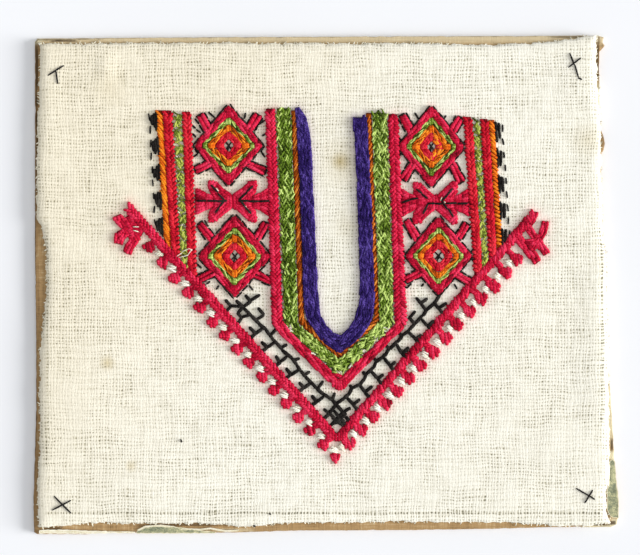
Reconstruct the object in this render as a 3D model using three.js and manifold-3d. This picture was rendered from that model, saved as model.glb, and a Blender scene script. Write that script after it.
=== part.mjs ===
// An embroidered neckline sample: wool stitches on a plain-weave cotton cloth, laid on a worn backing card.
// Millimetres, +Z up. The card lies flat on z = 0 with its middle over the origin. The neck opens towards +Y.
import * as THREE from "three";
import { mergeVertices } from "three/addons/utils/BufferGeometryUtils.js";
import Module from "manifold-3d";

const wasm = await Module();
wasm.setup();

// Driving sizes
const SEAT_GAP = 0.3; // clearance between a piece and what carries it
const CARD_THICK = 2.4;
const CARD_SEAT = CARD_THICK + SEAT_GAP; // the underside of the cloth and of the paper remnants
const CLOTH_THICK = 1.0;
const CLOTH_TOP = CARD_SEAT + CLOTH_THICK;
const STITCH_BASE = CLOTH_TOP + SEAT_GAP;
const PAPER_THICK = 0.4;
const WOOL_HIGH = 1.3; // neck edging, the thickest stitching
const WOOL_MID = 1.1;
const WOOL_LOW = 0.9;
const THREAD_THICK = 0.5; // black sewing thread of the corner tacks
const LEAN_FROM_Y = 56.7; // the side columns' x is given at this y
const CROSS_CLEAR = 0.35; // between two stitched pieces that nearly meet
const WELD_REACH = 1e-4; // points closer than this are one point

const COLOUR = {
  card: 0xa98659,
  cloth: 0xf2eedd,
  paper: 0x8d927c,
  crimson: 0xd01c48,
  orange: 0xe0742a,
  green: 0x85a040,
  purple: 0x3c2a78,
  black: 0x1e1a18,
};

// Heights across a stitched band: part of the width, part of the height
const ROUND = [
  [0, 0],
  [0.14, 0.62],
  [0.5, 1],
  [0.86, 0.62],
  [1, 0],
];
const BROAD = [
  [0, 0],
  [0.07, 0.72],
  [0.5, 1],
  [0.93, 0.72],
  [1, 0],
];
const BAR = [
  [0, 0],
  [0.22, 1],
  [0.78, 1],
  [1, 0],
];

// A bead's round end, from its rim inwards: part of the radius beyond the end point, part of the full width
const BEAD_END = [
  [1, 0.4],
  [0.65, 0.8],
  [0, 1],
];
const BEAD_RIM_HEIGHT = 0.3; // part of the height that a bead would keep at no width

const group = new THREE.Group();

function addPiece(name, geometry, colour, roughness) {
  const finish = new THREE.MeshStandardMaterial({ color: colour, roughness, metalness: 0 });
  const mesh = new THREE.Mesh(geometry, finish);
  mesh.name = name;
  group.add(mesh);
}

const addStitched = (name, geometry, colour) => addPiece(name, geometry, colour, 0.9);

// A closed geometry whose faces are turned to point outwards
function closedGeometry(points, faces) {
  const volume = faces.reduce((sum, [a, b, c]) => {
    return sum + points[a].dot(new THREE.Vector3().crossVectors(points[b], points[c]));
  }, 0);
  const turned = volume < 0 ? faces.map(([a, b, c]) => [a, c, b]) : faces;
  const geometry = new THREE.BufferGeometry().setFromPoints(points);
  geometry.setIndex(turned.flat());
  geometry.computeVertexNormals();
  return geometry;
}

function fanCap(count, first) {
  const faces = [];
  for (let i = 1; i < count - 1; i++) faces.push([first, first + i, first + i + 1]);
  return faces;
}

function outlineCap(loop, first) {
  const flat = loop.map((p) => new THREE.Vector2(p.x, p.y));
  const clockwise = THREE.ShapeUtils.area(flat) < 0;
  return THREE.ShapeUtils.triangulateShape(flat, []).map((face) => {
    const [a, b, c] = face.map((i) => i + first);
    return clockwise ? [a, c, b] : [a, b, c];
  });
}

// Skins a row of sections with equal counts, either as a closed ring or with a cap at each end
function skin(sections, { ring = false, cap = fanCap } = {}) {
  const count = sections[0].length;
  const steps = ring ? sections.length : sections.length - 1;
  const faces = [];
  for (let s = 0; s < steps; s++) {
    const here = s * count;
    const next = ((s + 1) % sections.length) * count;
    for (let i = 0; i < count; i++) {
      const j = (i + 1) % count;
      faces.push([here + i, next + i, next + j], [here + i, next + j, here + j]);
    }
  }
  if (!ring) {
    const last = sections.length - 1;
    const start = cap === outlineCap ? outlineCap(sections[0], 0) : fanCap(count, 0);
    const end = cap === outlineCap ? outlineCap(sections[last], last * count) : fanCap(count, last * count);
    faces.push(...start, ...end.map(([a, b, c]) => [a, c, b]));
  }
  return closedGeometry(sections.flat(), faces);
}

// A raised band between two edges that are given point by point
function band(left, right, height, { ring = false, profile = ROUND, base = STITCH_BASE } = {}) {
  const sections = left.map(([lx, ly], i) => {
    const [rx, ry] = right[i];
    const h = Array.isArray(height) ? height[i] : height;
    return profile.map(([across, up]) => {
      return new THREE.Vector3(lx + (rx - lx) * across, ly + (ry - ly) * across, base + up * h);
    });
  });
  return skin(sections, { ring });
}

// A raised stroke of given width along a path, mitred at its corners
function stroke(path, width, height, options) {
  const points = path.map(([x, y]) => new THREE.Vector2(x, y));
  const left = [];
  const right = [];
  points.forEach((p, i) => {
    const before = points[Math.max(i - 1, 0)];
    const after = points[Math.min(i + 1, points.length - 1)];
    const into = i > 0 ? p.clone().sub(before).normalize() : after.clone().sub(p).normalize();
    const out = i < points.length - 1 ? after.clone().sub(p).normalize() : into.clone();
    const along = into.clone().add(out).normalize();
    const half = (Array.isArray(width) ? width[i] : width) / 2 / along.dot(out);
    left.push([p.x - along.y * half, p.y + along.x * half]);
    right.push([p.x + along.y * half, p.y - along.x * half]);
  });
  return band(left, right, height, options);
}

// A stroke with round, sloping ends, such as a satin block or a knob
function bead([x0, y0], [x1, y1], radius, height, options) {
  const run = new THREE.Vector2(x1 - x0, y1 - y0);
  const reach = run.length();
  const unit = run.clone().normalize();
  const inward = [...BEAD_END].reverse();
  const stations = [
    ...BEAD_END.map(([out, share]) => [-out * radius, share]),
    ...inward.map(([out, share]) => [reach + out * radius, share]),
  ];
  const path = stations.map(([at]) => [x0 + unit.x * at, y0 + unit.y * at]);
  const widths = stations.map(([, share]) => 2 * radius * share);
  const heights = stations.map(([, share]) => {
    return height * (BEAD_RIM_HEIGHT + (1 - BEAD_RIM_HEIGHT) * share);
  });
  return stroke(path, widths, heights, options);
}

function solidOf(geometry) {
  const bare = new THREE.BufferGeometry();
  bare.setAttribute("position", geometry.getAttribute("position"));
  bare.setIndex(geometry.index);
  const merged = mergeVertices(bare, WELD_REACH);
  return new wasm.Manifold(
    new wasm.Mesh({
      numProp: 3,
      vertProperties: merged.attributes.position.array,
      triVerts: new Uint32Array(merged.index.array),
    }),
  );
}

// One solid from strokes that cross or touch
function joined(geometries) {
  const whole = geometries.map(solidOf).reduce((sum, next) => sum.add(next));
  const mesh = whole.getMesh();
  const geometry = new THREE.BufferGeometry();
  geometry.setAttribute("position", new THREE.BufferAttribute(mesh.vertProperties, 3));
  geometry.setIndex(new THREE.BufferAttribute(mesh.triVerts, 1));
  geometry.computeVertexNormals();
  return geometry;
}

const between = ([x0, y0], [x1, y1], t) => [x0 + (x1 - x0) * t, y0 + (y1 - y0) * t];

// The value of a table of [place, value] rows at a place between its rows
function readTable(rows, place) {
  const last = rows.length - 1;
  if (place <= rows[0][0]) return rows[0][1];
  if (place >= rows[last][0]) return rows[last][1];
  const i = rows.findIndex(([at]) => at > place);
  const [a, va] = rows[i - 1];
  const [b, vb] = rows[i];
  return va + ((vb - va) * (place - a)) / (b - a);
}

// Backing card

// x and y round the card, with the torn tab on its right edge and the tuft at its top right corner
const CARD_OUTLINE = [
  [-98.1, -71],
  [-97.9, -82.9],
  [-96.6, -83.6],
  [-80.6, -83.7],
  [-75.2, -83.2],
  [-31.9, -83.1],
  [-8.6, -82.4],
  [24.8, -82.3],
  [58.1, -81.8],
  [74.8, -81.3],
  [95.4, -81.2],
  [97.6, -80.2],
  [98.1, -78.3],
  [98.1, -71.7],
  [97.1, -61.7],
  [96.1, -45],
  [95.4, -35],
  [94.1, -21.7],
  [93.1, -5],
  [92.4, 11.7],
  [92.2, 45.5],
  [93.7, 46.3],
  [93.6, 51.2],
  [92.2, 51.9],
  [92.2, 79.6],
  [93.5, 80.6],
  [93.3, 83.1],
  [91.2, 83.7],
  [51.4, 83.5],
  [-1.9, 83.3],
  [-58.6, 83],
  [-96.8, 82.7],
  [-97.6, 81.5],
  [-97.6, 11.7],
  [-97.2, -15],
  [-97.2, -41.7],
  [-97.8, -61.7],
];

// Height up the card's edge and how far the edge is drawn in there: two plies with a split between them
const CARD_EDGE = [
  [0, 0.3],
  [0.3, 0],
  [1.05, 0],
  [1.3, 0.5],
  [1.55, 0.1],
  [2.2, 0.15],
  [CARD_THICK, 0.4],
];

function drawnIn(outline, inset) {
  const count = outline.length;
  return outline.map(([x, y], i) => {
    const before = new THREE.Vector2(...outline[(i + count - 1) % count]);
    const after = new THREE.Vector2(...outline[(i + 1) % count]);
    const along = after.sub(before).normalize();
    return new THREE.Vector2(x - along.y * inset, y + along.x * inset);
  });
}

function backingCard() {
  const loops = CARD_EDGE.map(([z, inset]) => {
    return drawnIn(CARD_OUTLINE, inset).map((p) => new THREE.Vector3(p.x, p.y, z));
  });
  return skin(loops, { cap: outlineCap });
}

// Ground cloth

// Edges of the cloth: the sides as [y, x], the ends as [x, y]
const CLOTH_LEFT = [
  [-81, -95.9],
  [-68.3, -96.3],
  [-55, -95.5],
  [-28.3, -95.5],
  [-15, -94.8],
  [-1.7, -93.2],
  [11.7, -93.6],
  [20, -94.9],
  [22.5, -96.5],
  [41.7, -96.6],
  [51.7, -96.2],
  [75, -95.4],
  [80.7, -95.4],
];
const CLOTH_RIGHT = [
  [-79.5, 95.3],
  [-76.7, 93.7],
  [-68.8, 93.6],
  [-66.2, 94.6],
  [-28.3, 94.6],
  [-18.3, 94.2],
  [-8.3, 93.8],
  [10, 93.7],
  [15, 92.6],
  [28.3, 92.2],
  [45, 92],
  [59, 91.7],
  [66.7, 90.6],
  [83.2, 90.3],
];
const CLOTH_BOTTOM = [
  [-95.9, -81],
  [-88.6, -80.3],
  [-75.2, -79.5],
  [-35.2, -79.8],
  [-28.2, -80.8],
  [-21.2, -80.1],
  [-8.6, -79.4],
  [24.8, -79],
  [60.4, -79.2],
  [78.1, -80.6],
  [88.4, -80.6],
  [95.3, -79.5],
];
const CLOTH_TOP_EDGE = [
  [-95.4, 80.7],
  [-41.9, 80.8],
  [31.4, 80.7],
  [54.8, 80.1],
  [71.4, 80.8],
  [84, 82.6],
  [90.3, 83.2],
];
const CLOTH_CELLS_X = 30;
const CLOTH_CELLS_Y = 26;

// Low rises and hollows in the bare margins: middle x and y, reach along x and y, height
const CLOTH_RELIEF = [
  [-73.6, 73, 3, 5, 0.45],
  [-94, 62, 6, 16, 0.25],
  [-80, -20, 16, 24, 0.22],
  [-60, -66, 26, 7, 0.2],
  [-10, -77.5, 40, 3.5, 0.28],
  [52, -72, 20, 9, 0.22],
  [90, -20, 6, 30, 0.35],
  [78, -55, 11, 10, 0.2],
  [86, 66, 8, 9, 0.3],
  [20, 76, 34, 5, 0.22],
  [-30, 72, 18, 6, 0.18],
];

function clothRise(x, y) {
  return CLOTH_RELIEF.reduce((sum, [cx, cy, rx, ry, height]) => {
    const away = ((x - cx) / rx) ** 2 + ((y - cy) / ry) ** 2;
    return sum + height * Math.exp(-away);
  }, 0);
}

// A point of the cloth from its two shares, blended from the four edges
function clothPoint(u, v) {
  const spanY = (edge) => edge[0][0] + (edge[edge.length - 1][0] - edge[0][0]) * v;
  const spanX = (edge) => edge[0][0] + (edge[edge.length - 1][0] - edge[0][0]) * u;
  const left = new THREE.Vector2(readTable(CLOTH_LEFT, spanY(CLOTH_LEFT)), spanY(CLOTH_LEFT));
  const right = new THREE.Vector2(readTable(CLOTH_RIGHT, spanY(CLOTH_RIGHT)), spanY(CLOTH_RIGHT));
  const bottom = new THREE.Vector2(spanX(CLOTH_BOTTOM), readTable(CLOTH_BOTTOM, spanX(CLOTH_BOTTOM)));
  const top = new THREE.Vector2(spanX(CLOTH_TOP_EDGE), readTable(CLOTH_TOP_EDGE, spanX(CLOTH_TOP_EDGE)));
  const [bl, br] = [CLOTH_BOTTOM[0], CLOTH_BOTTOM[CLOTH_BOTTOM.length - 1]];
  const [tl, tr] = [CLOTH_TOP_EDGE[0], CLOTH_TOP_EDGE[CLOTH_TOP_EDGE.length - 1]];
  const corners = new THREE.Vector2(...between(between(bl, br, u), between(tl, tr, u), v));
  const across = left.lerp(right, u);
  const along = bottom.lerp(top, v);
  return across.add(along).sub(corners);
}

function groundCloth() {
  const points = [];
  const faces = [];
  const row = CLOTH_CELLS_X + 1;
  for (let j = 0; j <= CLOTH_CELLS_Y; j++) {
    for (let i = 0; i <= CLOTH_CELLS_X; i++) {
      const p = clothPoint(i / CLOTH_CELLS_X, j / CLOTH_CELLS_Y);
      points.push(new THREE.Vector3(p.x, p.y, CLOTH_TOP + clothRise(p.x, p.y)));
    }
  }
  for (let j = 0; j < CLOTH_CELLS_Y; j++) {
    for (let i = 0; i < CLOTH_CELLS_X; i++) {
      const a = j * row + i;
      faces.push([a, a + 1, a + row + 1], [a, a + row + 1, a + row]);
    }
  }
  const rim = [];
  for (let i = 0; i < CLOTH_CELLS_X; i++) rim.push(i);
  for (let j = 0; j < CLOTH_CELLS_Y; j++) rim.push(j * row + CLOTH_CELLS_X);
  for (let i = CLOTH_CELLS_X; i > 0; i--) rim.push(CLOTH_CELLS_Y * row + i);
  for (let j = CLOTH_CELLS_Y; j > 0; j--) rim.push(j * row);
  const first = points.length;
  rim.forEach((index) => points.push(points[index].clone().setZ(CARD_SEAT)));
  rim.forEach((index, i) => {
    const k = (i + 1) % rim.length;
    faces.push([index, first + i, first + k], [index, first + k, rim[k]]);
  });
  const under = outlineCap(points.slice(first), first);
  faces.push(...under.map(([a, b, c]) => [a, c, b]));
  return closedGeometry(points, faces);
}

// Remnants of the card's grey-green facing paper, and the torn edge left by the rest of it

const FACING_BOTTOM = [
  [-63.2, -82.4],
  [-60.4, -80.8],
  [-55.2, -80.3],
  [-48.6, -80.9],
  [-41.9, -82],
  [-36.9, -82.6],
  [-36.9, -83],
  [-63.2, -83.1],
];
const FACING_CORNER = [
  [95.1, -60],
  [95.3, -62.8],
  [95.8, -66],
  [94.2, -69],
  [94.4, -71.8],
  [94.2, -75],
  [95.2, -77.4],
  [97.6, -77.6],
  [97.7, -72],
  [96.8, -65],
  [96.5, -59],
  [95.9, -58.4],
];
const TORN_EDGE = [
  [-95.8, -82],
  [-88.6, -81.7],
  [-78.6, -82.1],
  [-63.8, -82.4],
  [-63.8, -82.9],
  [-80.6, -83.2],
  [-95.8, -83.1],
];

function paperScrap(outline) {
  const loops = [CARD_SEAT, CARD_SEAT + PAPER_THICK].map((z) => {
    return outline.map(([x, y]) => new THREE.Vector3(x, y, z));
  });
  return skin(loops, { cap: outlineCap });
}

// Corner tacks in black thread: each has two stitches, given as points along them
const TACKS = {
  tack_top_left: [
    [[-92.7, 69.9], [-87.3, 73.1]],
    [[-90.1, 71.3], [-89.4, 67.3]],
  ],
  tack_top_right: [
    [[81.5, 77.3], [83, 73.5], [84.4, 69.2], [85.5, 68.6]],
    [[81.1, 72.6], [85.1, 75.8]],
  ],
  tack_bottom_left: [
    [[-90.6, -70.5], [-84.9, -76.3]],
    [[-91.5, -75.3], [-85, -71.9]],
  ],
  tack_bottom_right: [
    [[83.7, -67.9], [88, -70.5], [89.8, -71.5]],
    [[86.6, -72.6], [89.2, -68.6]],
  ],
};

function tack(stitches) {
  return joined(
    stitches.map((path) => stroke(path, THREAD_THICK, THREAD_THICK, { profile: BAR })),
  );
}

// Neck edging: five points a side, at the top, the knee, the tip, the other knee and the other top
const NECK_BANDS = [
  {
    name: "neck_purple_edging",
    colour: COLOUR.purple,
    height: WOOL_HIGH,
    profile: ROUND,
    inner: [[-5.4, 59.1], [-2.4, -9], [4.9, -17.1], [11.3, -9], [9.3, 56.1]],
    outer: [[-9.2, 59.1], [-6.9, -10.7], [4.5, -22.5], [15.9, -10.7], [13.1, 56.1]],
  },
  {
    name: "neck_orange_line",
    colour: COLOUR.orange,
    height: WOOL_LOW,
    profile: ROUND,
    inner: [[-9.7, 58.3], [-7.3, -11.1], [4.5, -23], [16.3, -11.1], [13.6, 57.4]],
    outer: [[-11.4, 58.3], [-8.9, -12.9], [4.5, -24.6], [17.8, -12.3], [15.1, 57.4]],
  },
  {
    name: "neck_green_band",
    colour: COLOUR.green,
    height: WOOL_LOW,
    profile: BROAD,
    inner: [[-11.8, 59], [-9.3, -13.3], [4.5, -25.1], [18.2, -12.6], [15.5, 57.4]],
    outer: [[-16.4, 59], [-13.8, -13.3], [4.6, -30.5], [22.6, -13.3], [20.3, 57.4]],
  },
  {
    name: "neck_crimson_line",
    colour: COLOUR.crimson,
    height: WOOL_MID,
    profile: ROUND,
    inner: [[-16.9, 58.8], [-14.2, -13.5], [4.6, -31.3], [23, -13.6], [20.7, 57]],
    outer: [[-20.2, 58.8], [-18, -13.5], [4.5, -35.5], [27.1, -13], [24.1, 57]],
  },
];

// Lower border: a crimson line that runs down to a point, with knobs hanging from its outer side
const BORDER_LEFT_END = [-66.6, 26.7];
const BORDER_TIP = [3.8, -52.3];
const BORDER_RIGHT_END = [69.6, 23.7];
const BORDER_WIDTH = 3;
const KNOB_RADIUS = 1.6;
const KNOB_LENGTH = 0.9;
const KNOB_STEM = 5.6; // from the knob's middle across to the border line
const STEM_WIDTH = 1.7;
const STEM_START_UP = 0.3; // how far above the knob's middle its stem starts, and how far above it ends
const STEM_END_UP = 0.6;
const KNOB_RUNS = [
  { from: [-59.3, 12.4], to: [-42.1, -8], steps: 4, side: 1 },
  { from: [-38.1, -12.6], to: [-1.3, -53.6], steps: 9, side: 1 },
  { from: [64, 8.1], to: [8.3, -53.6], steps: 14, side: -1 },
];
const TIP_KNOB = [3.4, -57.8];

// The motif that finishes each end of the border: two bars across its line, and a short line beside it.
// From, to and radius of each stroke.
const END_STROKES = [
  [[-61.5, 18.2], [-65.6, 12.2], 1.25],
  [[-64.3, 21.2], [-68.9, 14.9], 1.25],
  [[-63.2, 15.2], [-68.6, 20.9], 1.2],
  [[65.2, 17.2], [70.2, 9.2], 1.25],
  [[67.5, 19.6], [72.8, 11.8], 1.25],
  [[68.4, 14.2], [72.8, 19.8], 1.2],
];

const BORDERS = {
  left: { start: BORDER_LEFT_END, tip: BORDER_TIP },
  right: { start: BORDER_RIGHT_END, tip: BORDER_TIP },
};

function knob([x, y]) {
  return bead([x, y + KNOB_LENGTH / 2], [x, y - KNOB_LENGTH / 2], KNOB_RADIUS, WOOL_MID);
}

function lowerBorder() {
  const line = stroke([BORDER_LEFT_END, BORDER_TIP, BORDER_RIGHT_END], BORDER_WIDTH, WOOL_MID);
  const pieces = [line];
  for (const { from, to, steps, side } of KNOB_RUNS) {
    for (let i = 0; i <= steps; i++) {
      const [x, y] = between(from, to, i / steps);
      const stem = [[x, y + STEM_START_UP], [x + side * KNOB_STEM, y + STEM_END_UP]];
      pieces.push(knob([x, y]), stroke(stem, STEM_WIDTH, WOOL_LOW, { profile: BAR }));
    }
  }
  pieces.push(knob(TIP_KNOB), stroke([TIP_KNOB, BORDER_TIP], STEM_WIDTH, WOOL_LOW, { profile: BAR }));
  END_STROKES.forEach(([from, to, radius]) => pieces.push(bead(from, to, radius, WOOL_MID)));
  return joined(pieces);
}

// Side columns: the wool of each kind, then x at LEAN_FROM_Y, lean outwards going down, width and top y
const COLUMN_WOOL = {
  crimson_inner: { colour: COLOUR.crimson, height: WOOL_MID },
  green: { colour: COLOUR.green, height: WOOL_LOW },
  crimson_outer: { colour: COLOUR.crimson, height: WOOL_MID },
  orange: { colour: COLOUR.orange, height: WOOL_LOW },
};
const COLUMNS = [
  { side: "left", kind: "crimson_inner", x: -46.3, lean: 0.037, width: 2.5, top: 57.8 },
  { side: "left", kind: "green", x: -49.4, lean: 0.048, width: 1.9, top: 58 },
  { side: "left", kind: "crimson_outer", x: -52.7, lean: 0.06, width: 2.7, top: 58.2 },
  { side: "left", kind: "orange", x: -55.4, lean: 0.06, width: 1.8, top: 58.3 },
  { side: "right", kind: "crimson_inner", x: 47.3, lean: 0.065, width: 2.6, top: 56.1 },
  { side: "right", kind: "green", x: 50.2, lean: 0.059, width: 1.7, top: 55.7 },
  { side: "right", kind: "crimson_outer", x: 52.85, lean: 0.056, width: 2.4, top: 55.4 },
  { side: "right", kind: "orange", x: 55.25, lean: 0.061, width: 1.7, top: 55.1 },
];
const COLUMN_STEPS = 3;

// The y at which a leaning edge comes down to the border's clearance
function endAtBorder(x, lean, side) {
  const { start, tip } = BORDERS[side];
  const slope = (tip[1] - start[1]) / (tip[0] - start[0]);
  const clear = (BORDER_WIDTH / 2 + CROSS_CLEAR) * Math.hypot(1, slope);
  const level = start[1] + slope * (x + lean * LEAN_FROM_Y - start[0]) + clear;
  return level / (1 + slope * lean);
}

function leaningEdge(x, lean, top, bottom) {
  const points = [];
  for (let i = 0; i <= COLUMN_STEPS; i++) {
    const y = top + ((bottom - top) * i) / COLUMN_STEPS;
    points.push([x + lean * (LEAN_FROM_Y - y), y]);
  }
  return points;
}

function sideColumn({ side, kind, x, lean, width, top }) {
  const edges = [x - width / 2, x + width / 2].map((edge) => {
    return leaningEdge(edge, lean, top, endAtBorder(edge, lean, side));
  });
  return band(edges[0], edges[1], COLUMN_WOOL[kind].height);
}

// Outermost edging: black satin blocks, and a line of running stitches outside them.
// The thread between two blocks or stitches passes low through the cloth.
const EDGING_SIZES = {
  blocks: { width: 1.3, pitch: 8.85, long: 6.2 },
  running: { width: 0.7, pitch: 4.42, long: 2.4 },
};
const EDGINGS = [
  { side: "left", kind: "blocks", x: -57.5, lean: 0.055, top: 58.4 },
  { side: "left", kind: "running", x: -59, lean: 0.055, top: 57.4 },
  { side: "right", kind: "blocks", x: 57.2, lean: 0.059, top: 54.7 },
  { side: "right", kind: "running", x: 58.65, lean: 0.066, top: 53.6 },
];
const LINK_WIDTH = 0.4;
const LINK_HEIGHT = 0.2;
const BLOCK_SLOPE = 0.5; // length over which a block rises from the low thread
const EDGING_CLEAR = 0.6; // more than the border's clearance, at the edging's lowest block

function blackEdging({ side, kind, x, lean, top }) {
  const { width, pitch, long } = EDGING_SIZES[kind];
  const bottom = endAtBorder(x, lean, side) + EDGING_CLEAR;
  const path = [];
  const widths = [];
  const heights = [];
  const station = (y, full) => {
    path.push([x + lean * (LEAN_FROM_Y - y), y]);
    widths.push(full ? width : LINK_WIDTH);
    heights.push(full ? WOOL_LOW : LINK_HEIGHT);
  };
  for (let y = top; y - long > bottom; y -= pitch) {
    station(y, false);
    station(y - BLOCK_SLOPE, true);
    station(y - long + BLOCK_SLOPE, true);
    station(y - long, false);
  }
  return stroke(path, widths, heights);
}

// Diamond medallions: middle, half width and half height of the crimson outline
const MEDALLIONS = [
  { name: "left_upper", x: -32.2, y: 46.8, halfWidth: 10.6, halfHeight: 12.6 },
  { name: "left_lower", x: -30.7, y: 9.8, halfWidth: 11.2, halfHeight: 13.4 },
  { name: "right_upper", x: 35.1, y: 45.9, halfWidth: 9.9, halfHeight: 13.2 },
  { name: "right_lower", x: 37.6, y: 9.8, halfWidth: 10.8, halfHeight: 12.7 },
];

// Rings of a medallion: shares of its half width and half height at the ring's outer and inner edge
const RINGS = [
  { name: "crimson", colour: COLOUR.crimson, outer: [1, 1], inner: [0.8, 0.73], height: WOOL_MID },
  { name: "green", colour: COLOUR.green, outer: [0.76, 0.7], inner: [0.62, 0.57], height: WOOL_LOW },
  { name: "orange", colour: COLOUR.orange, outer: [0.58, 0.53], inner: [0.44, 0.41], height: WOOL_LOW },
  { name: "crimson_heart", colour: COLOUR.crimson, outer: [0.4, 0.37], inner: [0.2, 0.2], height: WOOL_LOW },
];

// Arms that stand out from a medallion towards the panel's corners: which side and which way up they go,
// how far along the diamond's edge they start, and their end as shares of the half width and half height
const ARM_RADIUS = 1.05;
const ARMS = [
  { sx: -1, sy: 1, along: 0.56, endX: 0.81, endY: 0.79 },
  { sx: 1, sy: 1, along: 0.56, endX: 0.81, endY: 0.79 },
  { sx: -1, sy: -1, along: 0.6, endX: 0.87, endY: 0.58 },
  { sx: 1, sy: -1, along: 0.6, endX: 0.87, endY: 0.58 },
];

function diamond(x, y, halfWidth, halfHeight) {
  return [
    [x + halfWidth, y],
    [x, y + halfHeight],
    [x - halfWidth, y],
    [x, y - halfHeight],
  ];
}

function medallionRing({ x, y, halfWidth, halfHeight }, { outer, inner, height }) {
  const outside = diamond(x, y, halfWidth * outer[0], halfHeight * outer[1]);
  const inside = diamond(x, y, halfWidth * inner[0], halfHeight * inner[1]);
  return band(outside, inside, height, { ring: true });
}

function crimsonDiamond(medallion) {
  const { x, y, halfWidth, halfHeight } = medallion;
  const arms = ARMS.map(({ sx, sy, along, endX, endY }) => {
    const from = [x + sx * halfWidth * along, y + sy * halfHeight * (1 - along)];
    const to = [x + sx * halfWidth * endX, y + sy * halfHeight * endY];
    return bead(from, to, ARM_RADIUS, WOOL_LOW);
  });
  return joined([medallionRing(medallion, RINGS[0]), ...arms]);
}

// Branching motif between the medallions: its middle and how far its side wedges reach.
// Its strokes are given as from, to and radius, as offsets from that middle.
const BRANCH_MOTIFS = [
  { name: "left_branch_motif", x: -31.1, y: 27.9, reach: 11.2 },
  { name: "right_branch_motif", x: 36.5, y: 27.4, reach: 9.8 },
];
const BRANCH_ARM = [[0.4, 0.8], [6.1, 5.6], 1.35];
const BRANCH_HOOK = [[6.6, 5.4], [7.4, 1.8], 1.4];
const BRANCH_WEDGE = { tip: 6.4, tipWidth: 1, baseWidth: 8.6 };
const WAIST_RADIUS = 1.8;
const WAIST_HALF = 0.6;

function branchMotif({ x, y, reach }) {
  const pieces = [bead([x, y - WAIST_HALF], [x, y + WAIST_HALF], WAIST_RADIUS, WOOL_MID)];
  for (const sx of [-1, 1]) {
    for (const sy of [-1, 1]) {
      for (const [from, to, radius] of [BRANCH_ARM, BRANCH_HOOK]) {
        const place = ([dx, dy]) => [x + sx * dx, y + sy * dy];
        pieces.push(bead(place(from), place(to), radius, WOOL_MID));
      }
    }
    const { tip, tipWidth, baseWidth } = BRANCH_WEDGE;
    const path = [[x + sx * tip, y], [x + sx * reach, y]];
    pieces.push(stroke(path, [tipWidth, baseWidth], WOOL_MID));
  }
  return joined(pieces);
}

// Black branches inside the lower border: two stems that cross above the tip, with twigs at an even pitch.
// Each twig runs out until it is clear of the crimson line it points at, and a tick stands on its middle.
const TWIG_WIDTH = 0.9;
const TWIG_SET = { profile: BAR };
const TWIG_REACH = 5.1;
const TWIG_CLEAR = 0.9; // from a twig's middle line at its end to a crimson edge
const TWIGS_PER_STEM = 8;
const NECK_OUTLINE = NECK_BANDS[NECK_BANDS.length - 1].outer;
const STEMS = [
  {
    from: [-29.1, -6],
    to: [7, -45.5],
    first: 0.13,
    last: 0.8,
    outward: [-0.785, -0.62],
    tick: [-1.5, 2.1],
    wall: [BORDER_LEFT_END, BORDER_TIP],
  },
  {
    from: [38.3, -3.2],
    to: [3.2, -41.5],
    first: 0.15,
    last: 0.82,
    outward: [0.65, -0.76],
    tick: [2.3, 1.3],
    wall: [BORDER_TIP, BORDER_RIGHT_END],
  },
];
const LATTICE = [
  [[-0.7, -41.4], [5.9, -47.2]],
  [[-0.7, -44.8], [3.4, -41.3]],
  [[1.6, -47.4], [7.5, -41.4]],
];

// How far a twig may run from a point before it comes within a clearance of one of the walls
function freeRun([x, y], [dx, dy], walls) {
  return walls.reduce((run, { line: [[ax, ay], [bx, by]], clear }) => {
    const [ex, ey] = [bx - ax, by - ay];
    const cross = dx * ey - dy * ex;
    const ahead = ((ax - x) * ey - (ay - y) * ex) / cross;
    const share = ((ax - x) * dy - (ay - y) * dx) / cross;
    const met = ahead > 0 && share >= 0 && share <= 1;
    return met ? Math.min(run, ahead - clear) : run;
  }, TWIG_REACH);
}

function blackBranches() {
  const pieces = [];
  const draw = (from, to) => pieces.push(stroke([from, to], TWIG_WIDTH, WOOL_LOW, TWIG_SET));
  const neckWalls = NECK_OUTLINE.slice(1).map((point, i) => {
    return { line: [NECK_OUTLINE[i], point], clear: TWIG_CLEAR };
  });
  for (const { from, to, first, last, outward, tick, wall } of STEMS) {
    draw(from, to);
    const borderWall = { line: wall, clear: TWIG_CLEAR + BORDER_WIDTH / 2 };
    const inward = outward.map((part) => -part);
    for (let i = 0; i < TWIGS_PER_STEM; i++) {
      const root = between(from, to, first + ((last - first) * i) / (TWIGS_PER_STEM - 1));
      const along = ([dx, dy], run) => [root[0] + dx * run, root[1] + dy * run];
      const outRun = freeRun(root, outward, [borderWall]);
      const middle = along(outward, outRun / 2);
      draw(root, along(outward, outRun));
      draw(middle, [middle[0] + tick[0], middle[1] + tick[1]]);
      draw(root, along(inward, freeRun(root, inward, neckWalls)));
    }
  }
  LATTICE.forEach(([from, to]) => draw(from, to));
  return joined(pieces);
}

addPiece("backing_card", backingCard(), COLOUR.card, 0.85);
addPiece("ground_cloth", groundCloth(), COLOUR.cloth, 0.95);
addPiece("facing_scrap_bottom", paperScrap(FACING_BOTTOM), COLOUR.paper, 0.8);
addPiece("facing_scrap_corner", paperScrap(FACING_CORNER), COLOUR.paper, 0.8);
addPiece("torn_edge_bottom", paperScrap(TORN_EDGE), COLOUR.cloth, 0.85);
for (const [name, stitches] of Object.entries(TACKS)) {
  addPiece(name, tack(stitches), COLOUR.black, 0.7);
}
for (const { name, colour, height, profile, inner, outer } of NECK_BANDS) {
  addStitched(name, band(inner, outer, height, { profile }), colour);
}
for (const column of COLUMNS) {
  const name = `${column.side}_column_${column.kind}`;
  addStitched(name, sideColumn(column), COLUMN_WOOL[column.kind].colour);
}
for (const edging of EDGINGS) {
  addStitched(`${edging.side}_black_${edging.kind}`, blackEdging(edging), COLOUR.black);
}
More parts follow.
